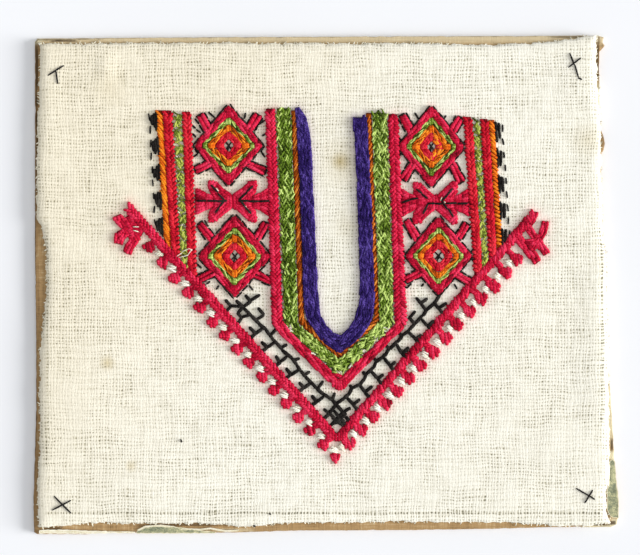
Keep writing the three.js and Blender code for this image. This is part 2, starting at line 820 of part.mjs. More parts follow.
for (const medallion of MEDALLIONS) {
  addStitched(`${medallion.name}_crimson`, crimsonDiamond(medallion), COLOUR.crimson);
  for (const ring of RINGS.slice(1)) {
    addStitched(`${medallion.name}_${ring.name}`, medallionRing(medallion, ring), ring.colour);
  }
}
for (const motif of BRANCH_MOTIFS) {
  addStitched(motif.name, branchMotif(motif), COLOUR.crimson);
}
addStitched("lower_border", lowerBorder(), COLOUR.crimson);
addStitched("black_branches", blackBranches(), COLOUR.black);

export default group;
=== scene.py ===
"""An embroidered neckline sample on its backing card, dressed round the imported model.

Tables give millimetres: x to the right, y towards the open end of the neckline. Meshes are made in metres.
"""

import math
import random

import bmesh
import bpy
from bpy.props import FloatProperty, FloatVectorProperty, IntProperty, PointerProperty
from mathutils import Matrix, Vector, kdtree, noise


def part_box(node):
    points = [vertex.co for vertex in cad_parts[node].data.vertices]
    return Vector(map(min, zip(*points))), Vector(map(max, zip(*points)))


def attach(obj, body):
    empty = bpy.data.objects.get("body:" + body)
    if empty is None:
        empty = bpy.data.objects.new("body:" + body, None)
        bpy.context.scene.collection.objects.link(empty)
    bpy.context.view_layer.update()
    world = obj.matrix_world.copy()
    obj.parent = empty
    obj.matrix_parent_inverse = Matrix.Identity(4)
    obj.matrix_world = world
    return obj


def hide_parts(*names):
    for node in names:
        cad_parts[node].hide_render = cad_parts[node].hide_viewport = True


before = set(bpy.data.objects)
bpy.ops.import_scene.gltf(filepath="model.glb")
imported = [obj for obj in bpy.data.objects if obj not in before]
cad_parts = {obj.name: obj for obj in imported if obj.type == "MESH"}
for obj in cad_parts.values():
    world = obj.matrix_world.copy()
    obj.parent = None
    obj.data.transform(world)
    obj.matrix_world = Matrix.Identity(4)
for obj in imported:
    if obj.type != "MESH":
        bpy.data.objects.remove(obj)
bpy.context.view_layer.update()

bl_info = {
    "name": "Embroidered Neckline Sample",
    "version": (1, 0, 0),
    "blender": (4, 5, 0),
    "location": "View3D > Sidebar > Embroidery",
    "description": "Builds a wool-embroidered neckline on plain-weave cloth, tacked to a backing card",
    "category": "Add Mesh",
}

MM = 0.001
CARD_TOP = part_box("backing_card")[1].z / MM
STITCH_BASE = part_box("neck_green_band")[0].z / MM
WOOL_CLEARANCE = 0.3  # what the solids keep between wool and cloth
CLOTH_TOP = STITCH_BASE - WOOL_CLEARANCE
CLOTH_UNDER = CARD_TOP + 0.08


def linear(red, green, blue):
    """A screen colour, 0 to 255, as the linear colour that a shader takes."""
    shares = (channel / 255 for channel in (red, green, blue))
    return tuple(s / 12.92 if s <= 0.04045 else ((s + 0.055) / 1.055) ** 2.4 for s in shares)


# ---- Settings a user would change


def colour_setting(name, description, *channels):
    return FloatVectorProperty(
        name=name, description=description, subtype="COLOR", size=3, min=0, max=1, default=linear(*channels)
    )


def number_setting(name, description, default, **more):
    return FloatProperty(name=name, description=description, default=default, **more)


def length_setting(name, description, millimetres):
    return number_setting(name, description, millimetres * MM, min=0, unit="LENGTH", subtype="DISTANCE")


class WoolSettings(bpy.types.PropertyGroup):
    crimson: colour_setting("Crimson", "Wool of the borders and diamonds", 204, 9, 52)
    orange: colour_setting("Orange", "Wool of the narrow lines", 232, 100, 10)
    green: colour_setting("Green", "Wool of the broad neck band", 110, 140, 34)
    purple: colour_setting("Purple", "Wool of the neck edging", 48, 27, 104)
    black: colour_setting("Black", "Wool of the branches and blocks", 26, 22, 20)
    length_spread: number_setting("Length Spread", "How unevenly long the stitches are", 0.09, min=0, max=0.5)
    turn_spread: number_setting("Turn Spread", "How unevenly the stitches lie", 0.11, subtype="ANGLE")
    tone_spread: number_setting("Tone Spread", "How much the wool's tone changes between stitches", 0.5, min=0)
    fuzz_length: length_setting("Fuzz Length", "Length of the wool's loose fibres", 0.75)
    fuzz_density: number_setting("Fuzz Density", "Loose fibres on each square metre of wool", 900000, min=0)
    seed: IntProperty(name="Seed", description="Start of the random draws", default=7)


class ClothSettings(bpy.types.PropertyGroup):
    pitch_across: length_setting("Warp Pitch", "Distance between the upright threads", 1.02)
    pitch_along: length_setting("Weft Pitch", "Distance between the level threads", 1.157)
    light: colour_setting("Cloth Light", "Raised threads of the cloth", 255, 252, 239)
    shade: colour_setting("Cloth Shade", "Gaps between the threads", 193, 187, 163)
    fray_length: length_setting("Fray Length", "Length of the loose threads at the raw edges", 0.8)


class CardSettings(bpy.types.PropertyGroup):
    kraft: colour_setting("Board", "Brown core of the backing card", 184, 150, 104)
    # the board's darkest colour, for its grain and dark patches and for the painted shade in its slits, along its
    # left edge and between its plies
    dark: colour_setting("Board Shade", "Worn and split places of the card", 92, 68, 40)
    paper: colour_setting("Facing Paper", "Grey-green paper left on the card", 132, 138, 112)
    torn: colour_setting("Torn Paper", "Cream edge where the paper tore", 232, 222, 186)
    roughness_reach: length_setting("Edge Roughness", "How far the torn plies wander", 0.35)


class StageSettings(bpy.types.PropertyGroup):
    floor: colour_setting("Floor", "Pale surface under the sample", 246, 247, 250)
    key_strength: number_setting("Key Strength", "Low light from the right", 4.15, min=0)
    key_height: number_setting("Key Height", "How high the key light stands", 0.32, subtype="ANGLE")
    key_softness: number_setting("Key Softness", "How broad the key light looks", 0.5, subtype="ANGLE")
    fill_strength: number_setting("Fill Strength", "Soft light from above", 0.75, min=0)
    world_light: number_setting("World Light", "Light from all round", 0.4, min=0)
    camera_height: length_setting("Camera Height", "Camera above the floor", 508.2)
    camera_x: number_setting("Camera X", "Middle of the view", -1.92 * MM, unit="LENGTH")
    camera_y: number_setting("Camera Y", "Middle of the view", 2.5 * MM, unit="LENGTH")
    lens: number_setting("Lens", "Focal length in millimetres", 85.0, min=1)


# ---- Short calls for nodes


class Term:
    """A value inside a node tree, so that a sum of values reads as a sum."""

    def __init__(self, graph, socket):
        self.graph, self.socket = graph, socket

    def __add__(self, other):
        return self.graph.math("ADD", self, other)

    def __sub__(self, other):
        return self.graph.math("SUBTRACT", self, other)

    def __rsub__(self, other):
        return self.graph.math("SUBTRACT", other, self)

    def __mul__(self, other):
        return self.graph.math("MULTIPLY", self, other)

    def __truediv__(self, other):
        return self.graph.math("DIVIDE", self, other)

    def __pow__(self, other):
        return self.graph.math("POWER", self, other)

    def __abs__(self):
        return self.graph.math("ABSOLUTE", self)

    def held(self):
        """The same value, kept between 0 and 1."""
        self.socket.node.use_clamp = True
        return self


class Graph:
    """Adds and links the nodes of one shader or geometry tree."""

    def __init__(self, tree):
        self.tree = tree

    def add(self, kind, inputs=None, **settings):
        node = self.tree.nodes.new(kind)
        for key, value in settings.items():
            setattr(node, key, value)
        for key, value in (inputs or {}).items():
            self.plug(node.inputs[key], value)
        return node

    def plug(self, socket, value):
        value = value.socket if isinstance(value, Term) else value
        if isinstance(value, bpy.types.NodeSocket):
            self.tree.links.new(value, socket)
        else:
            socket.default_value = value

    def math(self, operation, *values):
        node = self.add("ShaderNodeMath", operation=operation)
        for socket, value in zip(node.inputs, values):
            self.plug(socket, value)
        return Term(self, node.outputs[0])

    def vector(self, operation, first, second=None, scale=None):
        node = self.add("ShaderNodeVectorMath", operation=operation)
        for key, value in ((0, first), (1, second), ("Scale", scale)):
            if value is not None:
                self.plug(node.inputs[key], value)
        return Term(self, node.outputs["Value" if operation in ("LENGTH", "DISTANCE") else "Vector"])

    def parts(self, vector):
        return [Term(self, part) for part in self.add("ShaderNodeSeparateXYZ", {0: vector}).outputs]

    def whole(self, x, y, z=0.0):
        return Term(self, self.add("ShaderNodeCombineXYZ", {0: x, 1: y, 2: z}).outputs[0])

    def place(self):
        """Where the shaded point lies on the piece, in millimetres."""
        return self.vector("SCALE", self.add("ShaderNodeTexCoord").outputs["Object"], scale=1 / MM)

    def attribute(self, name, output="Fac"):
        return Term(self, self.add("ShaderNodeAttribute", attribute_name=name).outputs[output])

    def noise(self, vector, scale, detail=2.0, roughness=0.5):
        inputs = {"Vector": vector, "Scale": scale, "Detail": detail, "Roughness": roughness}
        return self.add("ShaderNodeTexNoise", inputs).outputs

    def speckle(self, vector, scale, detail=2.0, roughness=0.5):
        return Term(self, self.noise(vector, scale, detail, roughness)["Fac"])

    def smooth(self, value, low, high):
        """0 at the low value and 1 at the high one, eased at both ends."""
        ends = {"Value": value, "From Min": low, "From Max": high, "To Min": 0.0, "To Max": 1.0}
        return Term(self, self.add("ShaderNodeMapRange", ends, interpolation_type="SMOOTHSTEP").outputs["Result"])

    def ramp(self, share, *stops):
        node = self.add("ShaderNodeValToRGB", {"Fac": share})
        marks = node.color_ramp.elements
        while len(marks) < len(stops):
            marks.new(0.5)
        for mark, (place, colour) in zip(marks, stops):
            mark.position = place
            mark.color = (*colour, 1)
        return node.outputs["Color"]

    def mix(self, share, first, second, blend="MIX"):
        node = self.add("ShaderNodeMix", data_type="RGBA", blend_type=blend)
        self.plug(node.inputs[0], share)
        for socket, value in ((node.inputs[6], first), (node.inputs[7], second)):
            self.plug(socket, value if isinstance(value, (Term, bpy.types.NodeSocket)) else (*value, 1))
        return node.outputs[2]


def new_material(name):
    material = bpy.data.materials.new(name)
    material.use_nodes = True
    return material, Graph(material.node_tree), material.node_tree.nodes["Principled BSDF"]


def dressed(graph, shader, colour, roughness, gloss, relief=None, reach=0.0, strength=1.0):
    """Gives a shader its colour and shine, and relief from a height of 0 to 1 that reaches so many millimetres."""
    graph.plug(shader.inputs["Base Color"], colour)
    shader.inputs["Roughness"].default_value = roughness
    shader.inputs["Specular IOR Level"].default_value = gloss
    if relief is not None:
        bump = graph.add("ShaderNodeBump", {"Height": relief, "Distance": reach * MM, "Strength": strength})
        graph.plug(shader.inputs["Normal"], bump.outputs["Normal"])


def scaled(colour, share):
    return tuple(min(channel * share, 1.0) for channel in colour)


def blended(first, second, share):
    return tuple(a + (b - a) * share for a, b in zip(first, second))


# ---- Materials

TWIST_PITCH = 1.9  # length of yarn in one turn of its two plies
FIBRE_STREAKS = 5.0  # fibre streaks round the yarn
# The wool's light level, and how much of it each feature of the yarn adds or takes away; what the sides, the tips
# and the grooves between the plies take away is painted shade
WOOL_LEVEL, TONE_SHARE, SIDE_SHADE_SHARE, TIP_SHADE_SHARE = 0.62, 0.34, 0.3, 0.12
PLY_GROOVE_SHADE_SHARE, STREAK_SHARE, SPECK_SHARE, CLOUD_SHARE = 0.2, 0.95, 0.6, 0.8
WHITE = (1.0, 1.0, 1.0)


def wool_material(name, colour, pale, pale_share):
    """Twisted wool: plies, fibre streaks and a tone for each stitch, some of them paler, with painted shade along
    each stitch's sides, at its tips and in the grooves between its plies.
    """
    material, graph, shader = new_material(name)
    yarn_along, yarn_round, _ = graph.parts(graph.add("ShaderNodeUVMap", uv_map="yarn").outputs["UV"])
    tone = graph.attribute("tone")
    along = yarn_along * (graph.vector("LENGTH", graph.attribute("span", "Vector")) * (1 / MM))
    turn = yarn_round + along / TWIST_PITCH
    plies = abs(graph.math("SINE", turn * (2 * math.pi)))
    streaks = graph.speckle(graph.whole(turn * FIBRE_STREAKS, along * 0.5, tone), 2.6, 3.0, 0.65)
    place = graph.place()
    cloudy, specks = graph.speckle(place, 0.3, 2.0), graph.speckle(place, 1.3, 2.0, 0.6)
    # painted shade: each stitch darkens towards its sides and its tips, where its neighbours and the cloth would
    # shade it
    side = graph.smooth(abs(yarn_round - 0.5), 0.06, 0.25)
    tip = graph.smooth(abs(yarn_along - 0.5), 0.34, 0.5)
    level = tone * TONE_SHARE + WOOL_LEVEL - side * SIDE_SHADE_SHARE - tip * TIP_SHADE_SHARE
    # painted shade in the grooves between the plies; the streaks, specks and clouds are the wool's own tone
    level = level + (plies - 0.62) * PLY_GROOVE_SHADE_SHARE + (streaks - 0.5) * STREAK_SHARE
    level = level + (specks - 0.5) * SPECK_SHARE + (cloudy - 0.5) * CLOUD_SHARE
    body = graph.ramp(
        level, (0.0, scaled(colour, 0.16)), (0.34, scaled(colour, 0.62)), (0.56, colour), (0.95 - pale_share, pale)
    )
    shader.inputs["Sheen Weight"].default_value = 0.1
    shader.inputs["Sheen Roughness"].default_value = 0.45
    shader.inputs["Sheen Tint"].default_value = (*blended(scaled(colour, 1.2), WHITE, 0.12), 1)
    dressed(graph, shader, body, 0.92, 0.18, plies * 0.6 + streaks * 0.8, 0.14, 0.8)
    return material


# Stains on the cloth: x, y, reach and strength
CLOTH_STAINS = [
    (-72.9, -26.0, 2.2, 0.55),
    (-65.0, -60.4, 1.8, 0.45),
    (87.5, 48.5, 5.0, 0.3),
    (4.8, 41.2, 2.6, 0.7),
    (7.0, 40.5, 7.5, 0.3),
    (8.0, 20.0, 5.0, 0.2),
    (-72.0, 66.0, 6.0, 0.18),
]
# Rows of wider holes near the edges: across or up, its place, from and to along it, strength
HEM_ROWS = [
    ("y", -76.1, -93.5, 91.5, 0.8),
    ("x", 92.3, -46.0, 15.0, 0.75),
    ("x", -93.2, -60.0, 30.0, 0.45),
]
HEM_REACH = 0.75
# How far the threads stray from straight: scale of the noise, its detail, and the reach
WEAVE_DRIFTS = [(0.07, 3.0, 2.4), (0.55, 1.0, 0.55)]
# Washes over the cloth, one growing towards its left and one in patches, and the tint of its stains
LEFTWARD_WASH, PATCH_WASH, STAIN_TINT = linear(250, 245, 236), linear(236, 224, 196), linear(196, 176, 110)


def weave_heights(graph, place, settings):
    """The height of a plain weave, its gaps and the threads' own places."""
    moved = place
    for scale, detail, reach in WEAVE_DRIFTS:
        drift = graph.vector("SUBTRACT", graph.noise(place, scale, detail)["Color"], (0.5, 0.5, 0.5))
        moved = graph.vector("ADD", moved, graph.vector("SCALE", drift, scale=reach))
    px, py, _ = graph.parts(moved)
    threads = []
    for value, other, start in ((px, py, 3.0), (py, px, 11.0)):
        uneven = graph.speckle(graph.whole(value * 0.75, other * 0.06, start), 1.0, 1.0) - 0.5
        threads.append(uneven * 1.3 + value)
    pitches = (settings.pitch_across, settings.pitch_along)
    waves = [graph.math("SINE", value * (math.pi / (pitch / MM))) for value, pitch in zip(threads, pitches)]
    thread_x, thread_y = (abs(wave) for wave in waves)
    over = (waves[0] * waves[1] * 1.2 + 0.5).held()
    level = thread_y**0.55 * (over * 0.4 + 0.6)
    upright = thread_x**0.55 * (over * -0.4 + 1.0)
    gap_x, gap_y = 1.0 - thread_x, 1.0 - thread_y
    return graph.math("MAXIMUM", level, upright), gap_x, gap_y, threads


def cloth_material(settings):
    """Plain-weave cotton with slubs, uneven gaps darkened partly as painted shade, a few stains and the dye that
    has run from the wool.
    """
    material, graph, shader = new_material("plain_weave_cotton")
    place = graph.place()
    px, py, _ = graph.parts(place)
    height, gap_x, gap_y, (x, y) = weave_heights(graph, place, settings)
    openness = ((graph.speckle(place, 0.11, 3.0, 0.6) - 0.42) * 4.0 + 0.45).held()
    openness = openness * (graph.speckle(place, 0.8, 1.0) * 1.5 + 0.15)
    # the gaps between the threads are darkened, partly for the card seen through them and partly as painted shade
    # under the threads; the slubs and grain that follow are the cotton's own tone
    dark = (gap_x * gap_y) ** 0.8 * openness * 1.1 + (gap_x * 0.3 + gap_y) * 0.06
    for slub in (graph.whole(x * 0.1, y * 0.8), graph.whole(x * 0.9, y * 0.11, 7.0)):
        dark = dark + (graph.speckle(slub, 1.0, 3.0) - 0.5) * 0.62
    dark = dark + (graph.speckle(place, 1.5, 3.0, 0.7) - 0.43) * 0.9
    # the hem rows' wider holes are darkened in the same way
    for way, at, low, high, strength in HEM_ROWS:
        across, along, gap_along = (py, px, gap_x) if way == "y" else (px, py, gap_y)
        near = (1.0 - abs(across - at) / HEM_REACH).held()
        within = graph.math("LESS_THAN", abs(along - (low + high) / 2), (high - low) / 2)
        dark = dark + near * within * (gap_along + 0.25) * strength
    base = graph.ramp(
        dark,
        (0.0, settings.light),
        (0.42, blended(settings.light, settings.shade, 0.38)),
        (0.85, settings.shade),
        (1.0, scaled(settings.shade, 0.42)),
    )
    # the cloth grows warmer and a little darker towards its left
    base = graph.mix(graph.smooth(py * 0.6 - px, -10.0, 95.0), base, LEFTWARD_WASH, "MULTIPLY")
    base = graph.mix(graph.speckle(place, 0.02, 3.0) * 0.16, base, PATCH_WASH, "MULTIPLY")
    for stain_x, stain_y, reach, strength in CLOTH_STAINS:
        away = graph.vector("DISTANCE", place, (stain_x, stain_y, CLOTH_TOP))
        base = graph.mix((1.0 - away / (reach * 1.4)).held() * strength, base, STAIN_TINT, "MULTIPLY")
    dye = graph.add("ShaderNodeVertexColor", layer_name="dye").outputs
    base = graph.mix(Term(graph, dye["Alpha"]) * 0.9, base, dye["Color"], "MULTIPLY")
    shader.inputs["Sheen Weight"].default_value = 0.08
    dressed(graph, shader, base, 0.95, 0.12, height - dark * 0.5, 0.12, 0.7)
    return material


# Marks on the board: x, y, reach along x and y, strength. First the worn pale places where its paper tore, then
# the dark places: mostly painted shade in the slits and splits where it gapes, and a few dark patches.
PALE_PLACES = [
    (91.2, 63.5, 1.6, 5.2, 0.7),
    (95.0, -42.0, 2.4, 12.0, 0.7),
    (96.2, -57.4, 1.8, 2.2, 0.9),
    (97.2, -79.6, 2.0, 1.7, 0.8),
    (92.0, -81.1, 6.5, 0.8, 0.75),
    (-96.4, 82.0, 1.8, 1.5, 0.6),
    (-50.0, -82.6, 13.0, 0.5, 0.5),
    (-31.0, -82.0, 7.0, 0.6, 0.4),
]
SHADED_SLITS_AND_DARK_PATCHES = [
    (91.0, 74.8, 0.6, 7.8, 0.85),
    (92.9, 49.0, 1.6, 3.4, 0.45),
    (95.8, -53.5, 0.5, 2.2, 0.8),
    (-91.3, -81.5, 3.5, 0.7, 0.75),
    (91.0, -80.2, 3.2, 0.3, 0.9),
    (-49.0, -80.3, 13.5, 0.5, 0.7),
    (96.0, -79.6, 1.2, 0.7, 0.85),
    (-96.7, 73.3, 0.5, 6.9, 0.9),
    (-87.8, 81.7, 4.4, 0.35, 0.8),
    (81.5, 83.0, 6.2, 0.45, 0.6),
]


def board_material(settings):
    """Brown board: fibres along its length, worn pale places, dark places that are mostly painted shade in its
    slits, painted shade towards its left edge and in the crevice where its plies part.
    """
    material, graph, shader = new_material("worn_board")
    place = graph.place()
    x, y, z = graph.parts(place)
    fibres = graph.speckle(graph.whole(x * 2.2, y * 0.16, z), 1.0, 3.0)
    fibres = fibres + graph.speckle(graph.whole(x * 0.16, y * 2.2, z), 1.0, 3.0)
    share = (fibres * 0.75 + graph.speckle(place, 0.16, 4.0, 0.65) * 0.9 - 0.7).held()
    base = graph.ramp(
        share,
        (0.0, settings.dark),
        (0.35, blended(settings.dark, settings.kraft, 0.72)),
        (0.6, settings.kraft),
        (1.0, blended(settings.kraft, settings.torn, 0.6)),
    )
    base = graph.mix(graph.smooth(y, 79.0, 82.6) * 0.5, base, settings.torn)
    # painted shade: the board darkens over its last few millimetres on the left, the side away from the key light
    base = graph.mix(graph.smooth(x * -1.0, 94.5, 97.5) * 0.45, base, scaled(settings.dark, 0.9))
    ragged = graph.speckle(place, 0.9, 3.0) * 0.9 + 0.55
    # the dark places are painted shade in the board's slits, and a few dark patches
    for places, tint in ((PALE_PLACES, scaled(settings.torn, 0.96)), (SHADED_SLITS_AND_DARK_PATCHES, scaled(settings.dark, 0.6))):
        for middle_x, middle_y, reach_x, reach_y, strength in places:
            away = graph.math("MAXIMUM", abs((x - middle_x) / reach_x), abs((y - middle_y) / reach_y))
            inside = 1.0 - graph.smooth(away * ragged, 0.5, 1.3)
            base = graph.mix(inside * strength, base, tint)
    # painted shade in the crevice where the plies part
    base = graph.mix(graph.attribute("parted"), base, scaled(settings.dark, 0.22))
    dressed(graph, shader, base, 0.88, 0.2, share + graph.speckle(place, 2.5, 2.0), 0.12, 0.7)
    return material


def paper_material(name, colour, other, scale, torn):
    """Torn paper: cloudy, with scuffs that show the other colour and a ragged rim where its core shows."""
    material, graph, shader = new_material(name)
    place = graph.place()
    share = graph.speckle(place, 2.4, 3.0, 0.7) * 0.6 + graph.speckle(place, scale, 4.0, 0.7) * 0.7
    base = graph.ramp(share, (0.4, scaled(colour, 0.5)), (0.6, colour), (0.76, other))
    streak = graph.speckle(place, 0.8, 3.0, 0.6) * 1.6 + (graph.attribute("rim") - 1.05)
    base = graph.mix(graph.smooth(streak, 0.0, 0.4), base, torn)
    dressed(graph, shader, base, 0.82, 0.25, share, 0.1, 0.8)
    return material


def floor_material(colour):
    material, graph, shader = new_material("pale_floor")
    cloud = graph.speckle(graph.add("ShaderNodeTexCoord").outputs["Object"], 9.0, 2.0)
    dressed(graph, shader, graph.ramp(cloud, (0.3, scaled(colour, 0.97)), (0.7, colour)), 0.8, 0.2)
    return material


MADE = {}


def materials(scene):
    """The finishes, made once and shared by the pieces."""
    if not MADE:
        wool, card = scene.sample_wool, scene.sample_card
        for name, colour, pale, pale_share in (
            ("crimson_wool", wool.crimson, (240, 62, 100), 0.0),
            ("red_wool", linear(202, 10, 38), (236, 58, 72), 0.0),
            ("orange_wool", wool.orange, (255, 158, 40), 0.0),
            ("amber_wool", linear(204, 92, 12), (240, 156, 62), 0.0),
            ("green_wool", wool.green, (200, 222, 124), 0.06),
            ("olive_wool", linear(116, 136, 36), (196, 206, 96), 0.06),
            ("purple_wool", wool.purple, (104, 82, 170), 0.0),
            ("black_wool", wool.black, (54, 50, 46), 0.0),
            ("black_thread", linear(20, 18, 18), (60, 56, 54), 0.0),
            ("cotton_thread", linear(240, 232, 206), (252, 248, 234), 0.0),
        ):
            MADE[name] = wool_material(name, tuple(colour), linear(*pale), pale_share)
        MADE["cotton"] = cloth_material(scene.sample_cloth)
        MADE["board"] = board_material(card)
        paper, torn = tuple(card.paper), tuple(card.torn)
        MADE["facing_paper"] = paper_material("facing_paper", paper, linear(206, 202, 156), 0.35, torn)
        MADE["torn_paper"] = paper_material("torn_paper", torn, linear(246, 240, 218), 0.5, linear(252, 246, 226))
    return MADE


# ---- Meshes


def mesh_piece(name, points, faces, smooth=True):
    """A new object at the origin, from points in millimetres."""
    mesh = bpy.data.meshes.new(name)
    mesh.from_pydata([tuple(c * MM for c in point) for point in points], [], faces)
    mesh.validate()
    mesh.polygons.foreach_set("use_smooth", [smooth] * len(mesh.polygons))
    piece = bpy.data.objects.new(name, mesh)
    bpy.context.scene.collection.objects.link(piece)
    return piece


# The rings of a yarn stitch: place along it, share of its girth, height of its middle line
YARN_RINGS = [
    (-0.5, 0.46, -0.10),
    (-0.40, 0.86, 0.28),
    (-0.20, 1.0, 0.50),
    (0.20, 1.0, 0.50),
    (0.40, 0.86, 0.28),
    (0.5, 0.46, -0.10),
]
YARN_SIDES = 6
FIBRE_RINGS = [(0.0, 0.0, 0.5), (0.55, 0.22, 0.45), (0.9, 0.75, 0.15)]  # up, out, girth
FIBRE_SIDES = 3
FIBRE_GIRTH = 0.13


def tube_faces(rings, sides, first=0, closed=False):
    """The faces of rings of points in a row, capped at both ends unless the row closes on itself."""
    faces = []
    for ring in range(rings if closed else rings - 1):
        here, there = first + ring * sides, first + (ring + 1) % rings * sides
        for side in range(sides):
            after = (side + 1) % sides
            faces.append((here + side, here + after, there + after, there + side))
    if closed:
        return faces
    last = first + (rings - 1) * sides
    return [tuple(range(first + sides - 1, first - 1, -1)), *faces, tuple(range(last, last + sides))]


def ripple(x, y, scale, layer):
    """Smooth noise over the sample's plane, from about -1 to 1."""
    return noise.noise((x * scale, y * scale, layer))


def bulges(table, x, y):
    """The summed height of smooth bulges, each with its middle, its reach along x and y and its height."""
    return sum(
        height * math.exp(-(((x - middle_x) / reach_x) ** 2) - ((y - middle_y) / reach_y) ** 2)
        for middle_x, middle_y, reach_x, reach_y, height in table
    )


def unit_yarn():
    """One stitch of unit length, width and height, with its length and girth as a UV map."""
    points = []
    for along, girth, middle in YARN_RINGS:
        for side in range(YARN_SIDES):
            angle = -math.pi / 2 + 2 * math.pi * side / YARN_SIDES
            points.append((along, 0.5 * girth * math.cos(angle), middle + 0.5 * girth * math.sin(angle)))
    piece = mesh_piece("unit_yarn", points, tube_faces(len(YARN_RINGS), YARN_SIDES))
    piece.data.transform(Matrix.Scale(1 / MM, 4))
    uv = piece.data.uv_layers.new(name="yarn")
    for face in piece.data.polygons:
        sides = [vertex % YARN_SIDES for vertex in face.vertices]
        wraps = 0 in sides and YARN_SIDES - 1 in sides and len(sides) == 4
        for loop, vertex, side in zip(face.loop_indices, face.vertices, sides):
            round_share = 1.0 if wraps and side == 0 else side / YARN_SIDES
            uv.data[loop].uv = (YARN_RINGS[vertex // YARN_SIDES][0] + 0.5, round_share)
    return piece


def unit_fibre():
    """One loose fibre of unit length that bends over, with a closed three-sided section."""
    points = []
    for up, out, girth in FIBRE_RINGS:
        for side in range(FIBRE_SIDES):
            angle = 2 * math.pi * side / FIBRE_SIDES
            points.append((out + FIBRE_GIRTH * girth * math.cos(angle), FIBRE_GIRTH * girth * math.sin(angle), up))
    piece = mesh_piece("unit_fibre", points, tube_faces(len(FIBRE_RINGS), FIBRE_SIDES))
    piece.data.transform(Matrix.Scale(1 / MM, 4))
    uv = piece.data.uv_layers.new(name="yarn")
    # the fibres take the yarn map's middle, clear of the painted side and tip shade
    uv.data.foreach_set("uv", [0.5] * (2 * len(piece.data.loops)))  # as bright as the top of a stitch
    return piece


# ---- The stitch tree


def socket(tree, name, kind, default=None, outward=False):
    made = tree.interface.new_socket(name=name, in_out="OUTPUT" if outward else "INPUT", socket_type=kind)
    if default is not None:
        made.default_value = default
    return made


def stitch_tree():
    """Lays one yarn stitch on each edge of a chart, unevenly as by hand, and raises loose fibres from them."""
    tree = bpy.data.node_groups.new("wool_stitches", "GeometryNodeTree")
    socket(tree, "Geometry", "NodeSocketGeometry")
    for name, kind, default in (
        ("Yarn", "NodeSocketObject", None),
        ("Fibre", "NodeSocketObject", None),
        ("Bed", "NodeSocketObject", None),
        ("Wool", "NodeSocketMaterial", None),
        ("Length Spread", "NodeSocketFloat", 0.07),
        ("Turn Spread", "NodeSocketFloat", 0.07),
        ("Tone Spread", "NodeSocketFloat", 0.28),
        ("Fuzz Density", "NodeSocketFloat", 0.0),
        ("Fuzz Length", "NodeSocketFloat", 0.75 * MM),
        ("Seed", "NodeSocketInt", 7),
    ):
        socket(tree, name, kind, default)
    socket(tree, "Geometry", "NodeSocketGeometry", outward=True)
    graph = Graph(tree)
    given = graph.add("NodeGroupInput").outputs

    def drawn(kind, low, high, step):
        node = graph.add("FunctionNodeRandomValue", data_type=kind)
        sockets = [s for s in node.inputs if s.enabled]
        graph.plug(sockets[0], low)
        graph.plug(sockets[1], high)
        graph.plug(node.inputs["Seed"], graph.math("ADD", given["Seed"], step))
        return [s for s in node.outputs if s.enabled][0]

    def named(name, kind):
        node = graph.add("GeometryNodeInputNamedAttribute", {"Name": name}, data_type=kind)
        return [s for s in node.outputs if s.enabled][0]

    points = graph.add("GeometryNodeMeshToPoints", {"Mesh": given["Geometry"]}, mode="EDGES").outputs[0]
    span, girth = named("span", "FLOAT_VECTOR"), named("girth", "FLOAT_VECTOR")
    run_x, run_y, _ = graph.parts(span)
    width, high, shade = graph.parts(girth)
    longer = graph.math("MULTIPLY_ADD", drawn("FLOAT", -1.0, 1.0, 1), given["Length Spread"], 1.0)
    wider = graph.math("MULTIPLY_ADD", drawn("FLOAT", -1.0, 1.0, 2), given["Length Spread"], 1.0)
    turned = graph.math("MULTIPLY", drawn("FLOAT", -1.0, 1.0, 3), given["Turn Spread"])
    tone = graph.math("MULTIPLY_ADD", drawn("FLOAT", -1.0, 1.0, 4), given["Tone Spread"], shade)
    heading = graph.math("ADD", graph.math("ARCTAN2", run_y, run_x), turned)
    store = {"Geometry": points, "Name": "tone", "Value": tone}
    points = graph.add("GeometryNodeStoreNamedAttribute", store, data_type="FLOAT", domain="POINT").outputs[0]
    size = graph.whole(
        graph.math("MULTIPLY", graph.vector("LENGTH", span), longer), graph.math("MULTIPLY", width, wider), high
    )
    yarn = graph.add("GeometryNodeObjectInfo", {"Object": given["Yarn"]}).outputs["Geometry"]
    laid = graph.add(
        "GeometryNodeInstanceOnPoints",
        {"Points": points, "Instance": yarn, "Rotation": graph.whole(0.0, 0.0, heading), "Scale": size},
    ).outputs[0]
    stitches = graph.add("GeometryNodeRealizeInstances", {"Geometry": laid}).outputs[0]
    spots = graph.add(
        "GeometryNodeDistributePointsOnFaces",
        {"Mesh": stitches, "Density": given["Fuzz Density"], "Seed": given["Seed"]},
        distribute_method="RANDOM",
    ).outputs["Points"]
    fibre = graph.add("GeometryNodeObjectInfo", {"Object": given["Fibre"]}).outputs["Geometry"]
    splay = drawn("FLOAT_VECTOR", (-1.1, -1.1, 0.0), (1.1, 1.1, 2 * math.pi), 5)
    reach = graph.math("MULTIPLY", drawn("FLOAT", 0.4, 1.2, 6), given["Fuzz Length"])
    fuzz = graph.add(
        "GeometryNodeInstanceOnPoints", {"Points": spots, "Instance": fibre, "Rotation": splay, "Scale": reach}
    ).outputs[0]
    bed = graph.add("GeometryNodeObjectInfo", {"Object": given["Bed"]}).outputs["Geometry"]
    whole = graph.add("GeometryNodeJoinGeometry")
    for part in (bed, fuzz, stitches):
        tree.links.new(part, whole.inputs[0])
    flat = graph.add("GeometryNodeRealizeInstances", {"Geometry": whole.outputs[0]}).outputs[0]
    smooth = graph.add("GeometryNodeSetShadeSmooth", {"Geometry": flat}).outputs[0]
    dyed = graph.add("GeometryNodeSetMaterial", {"Geometry": smooth, "Material": given["Wool"]}).outputs[0]
    graph.add("NodeGroupOutput", {"Geometry": dyed})
    return tree


SHARED = {}


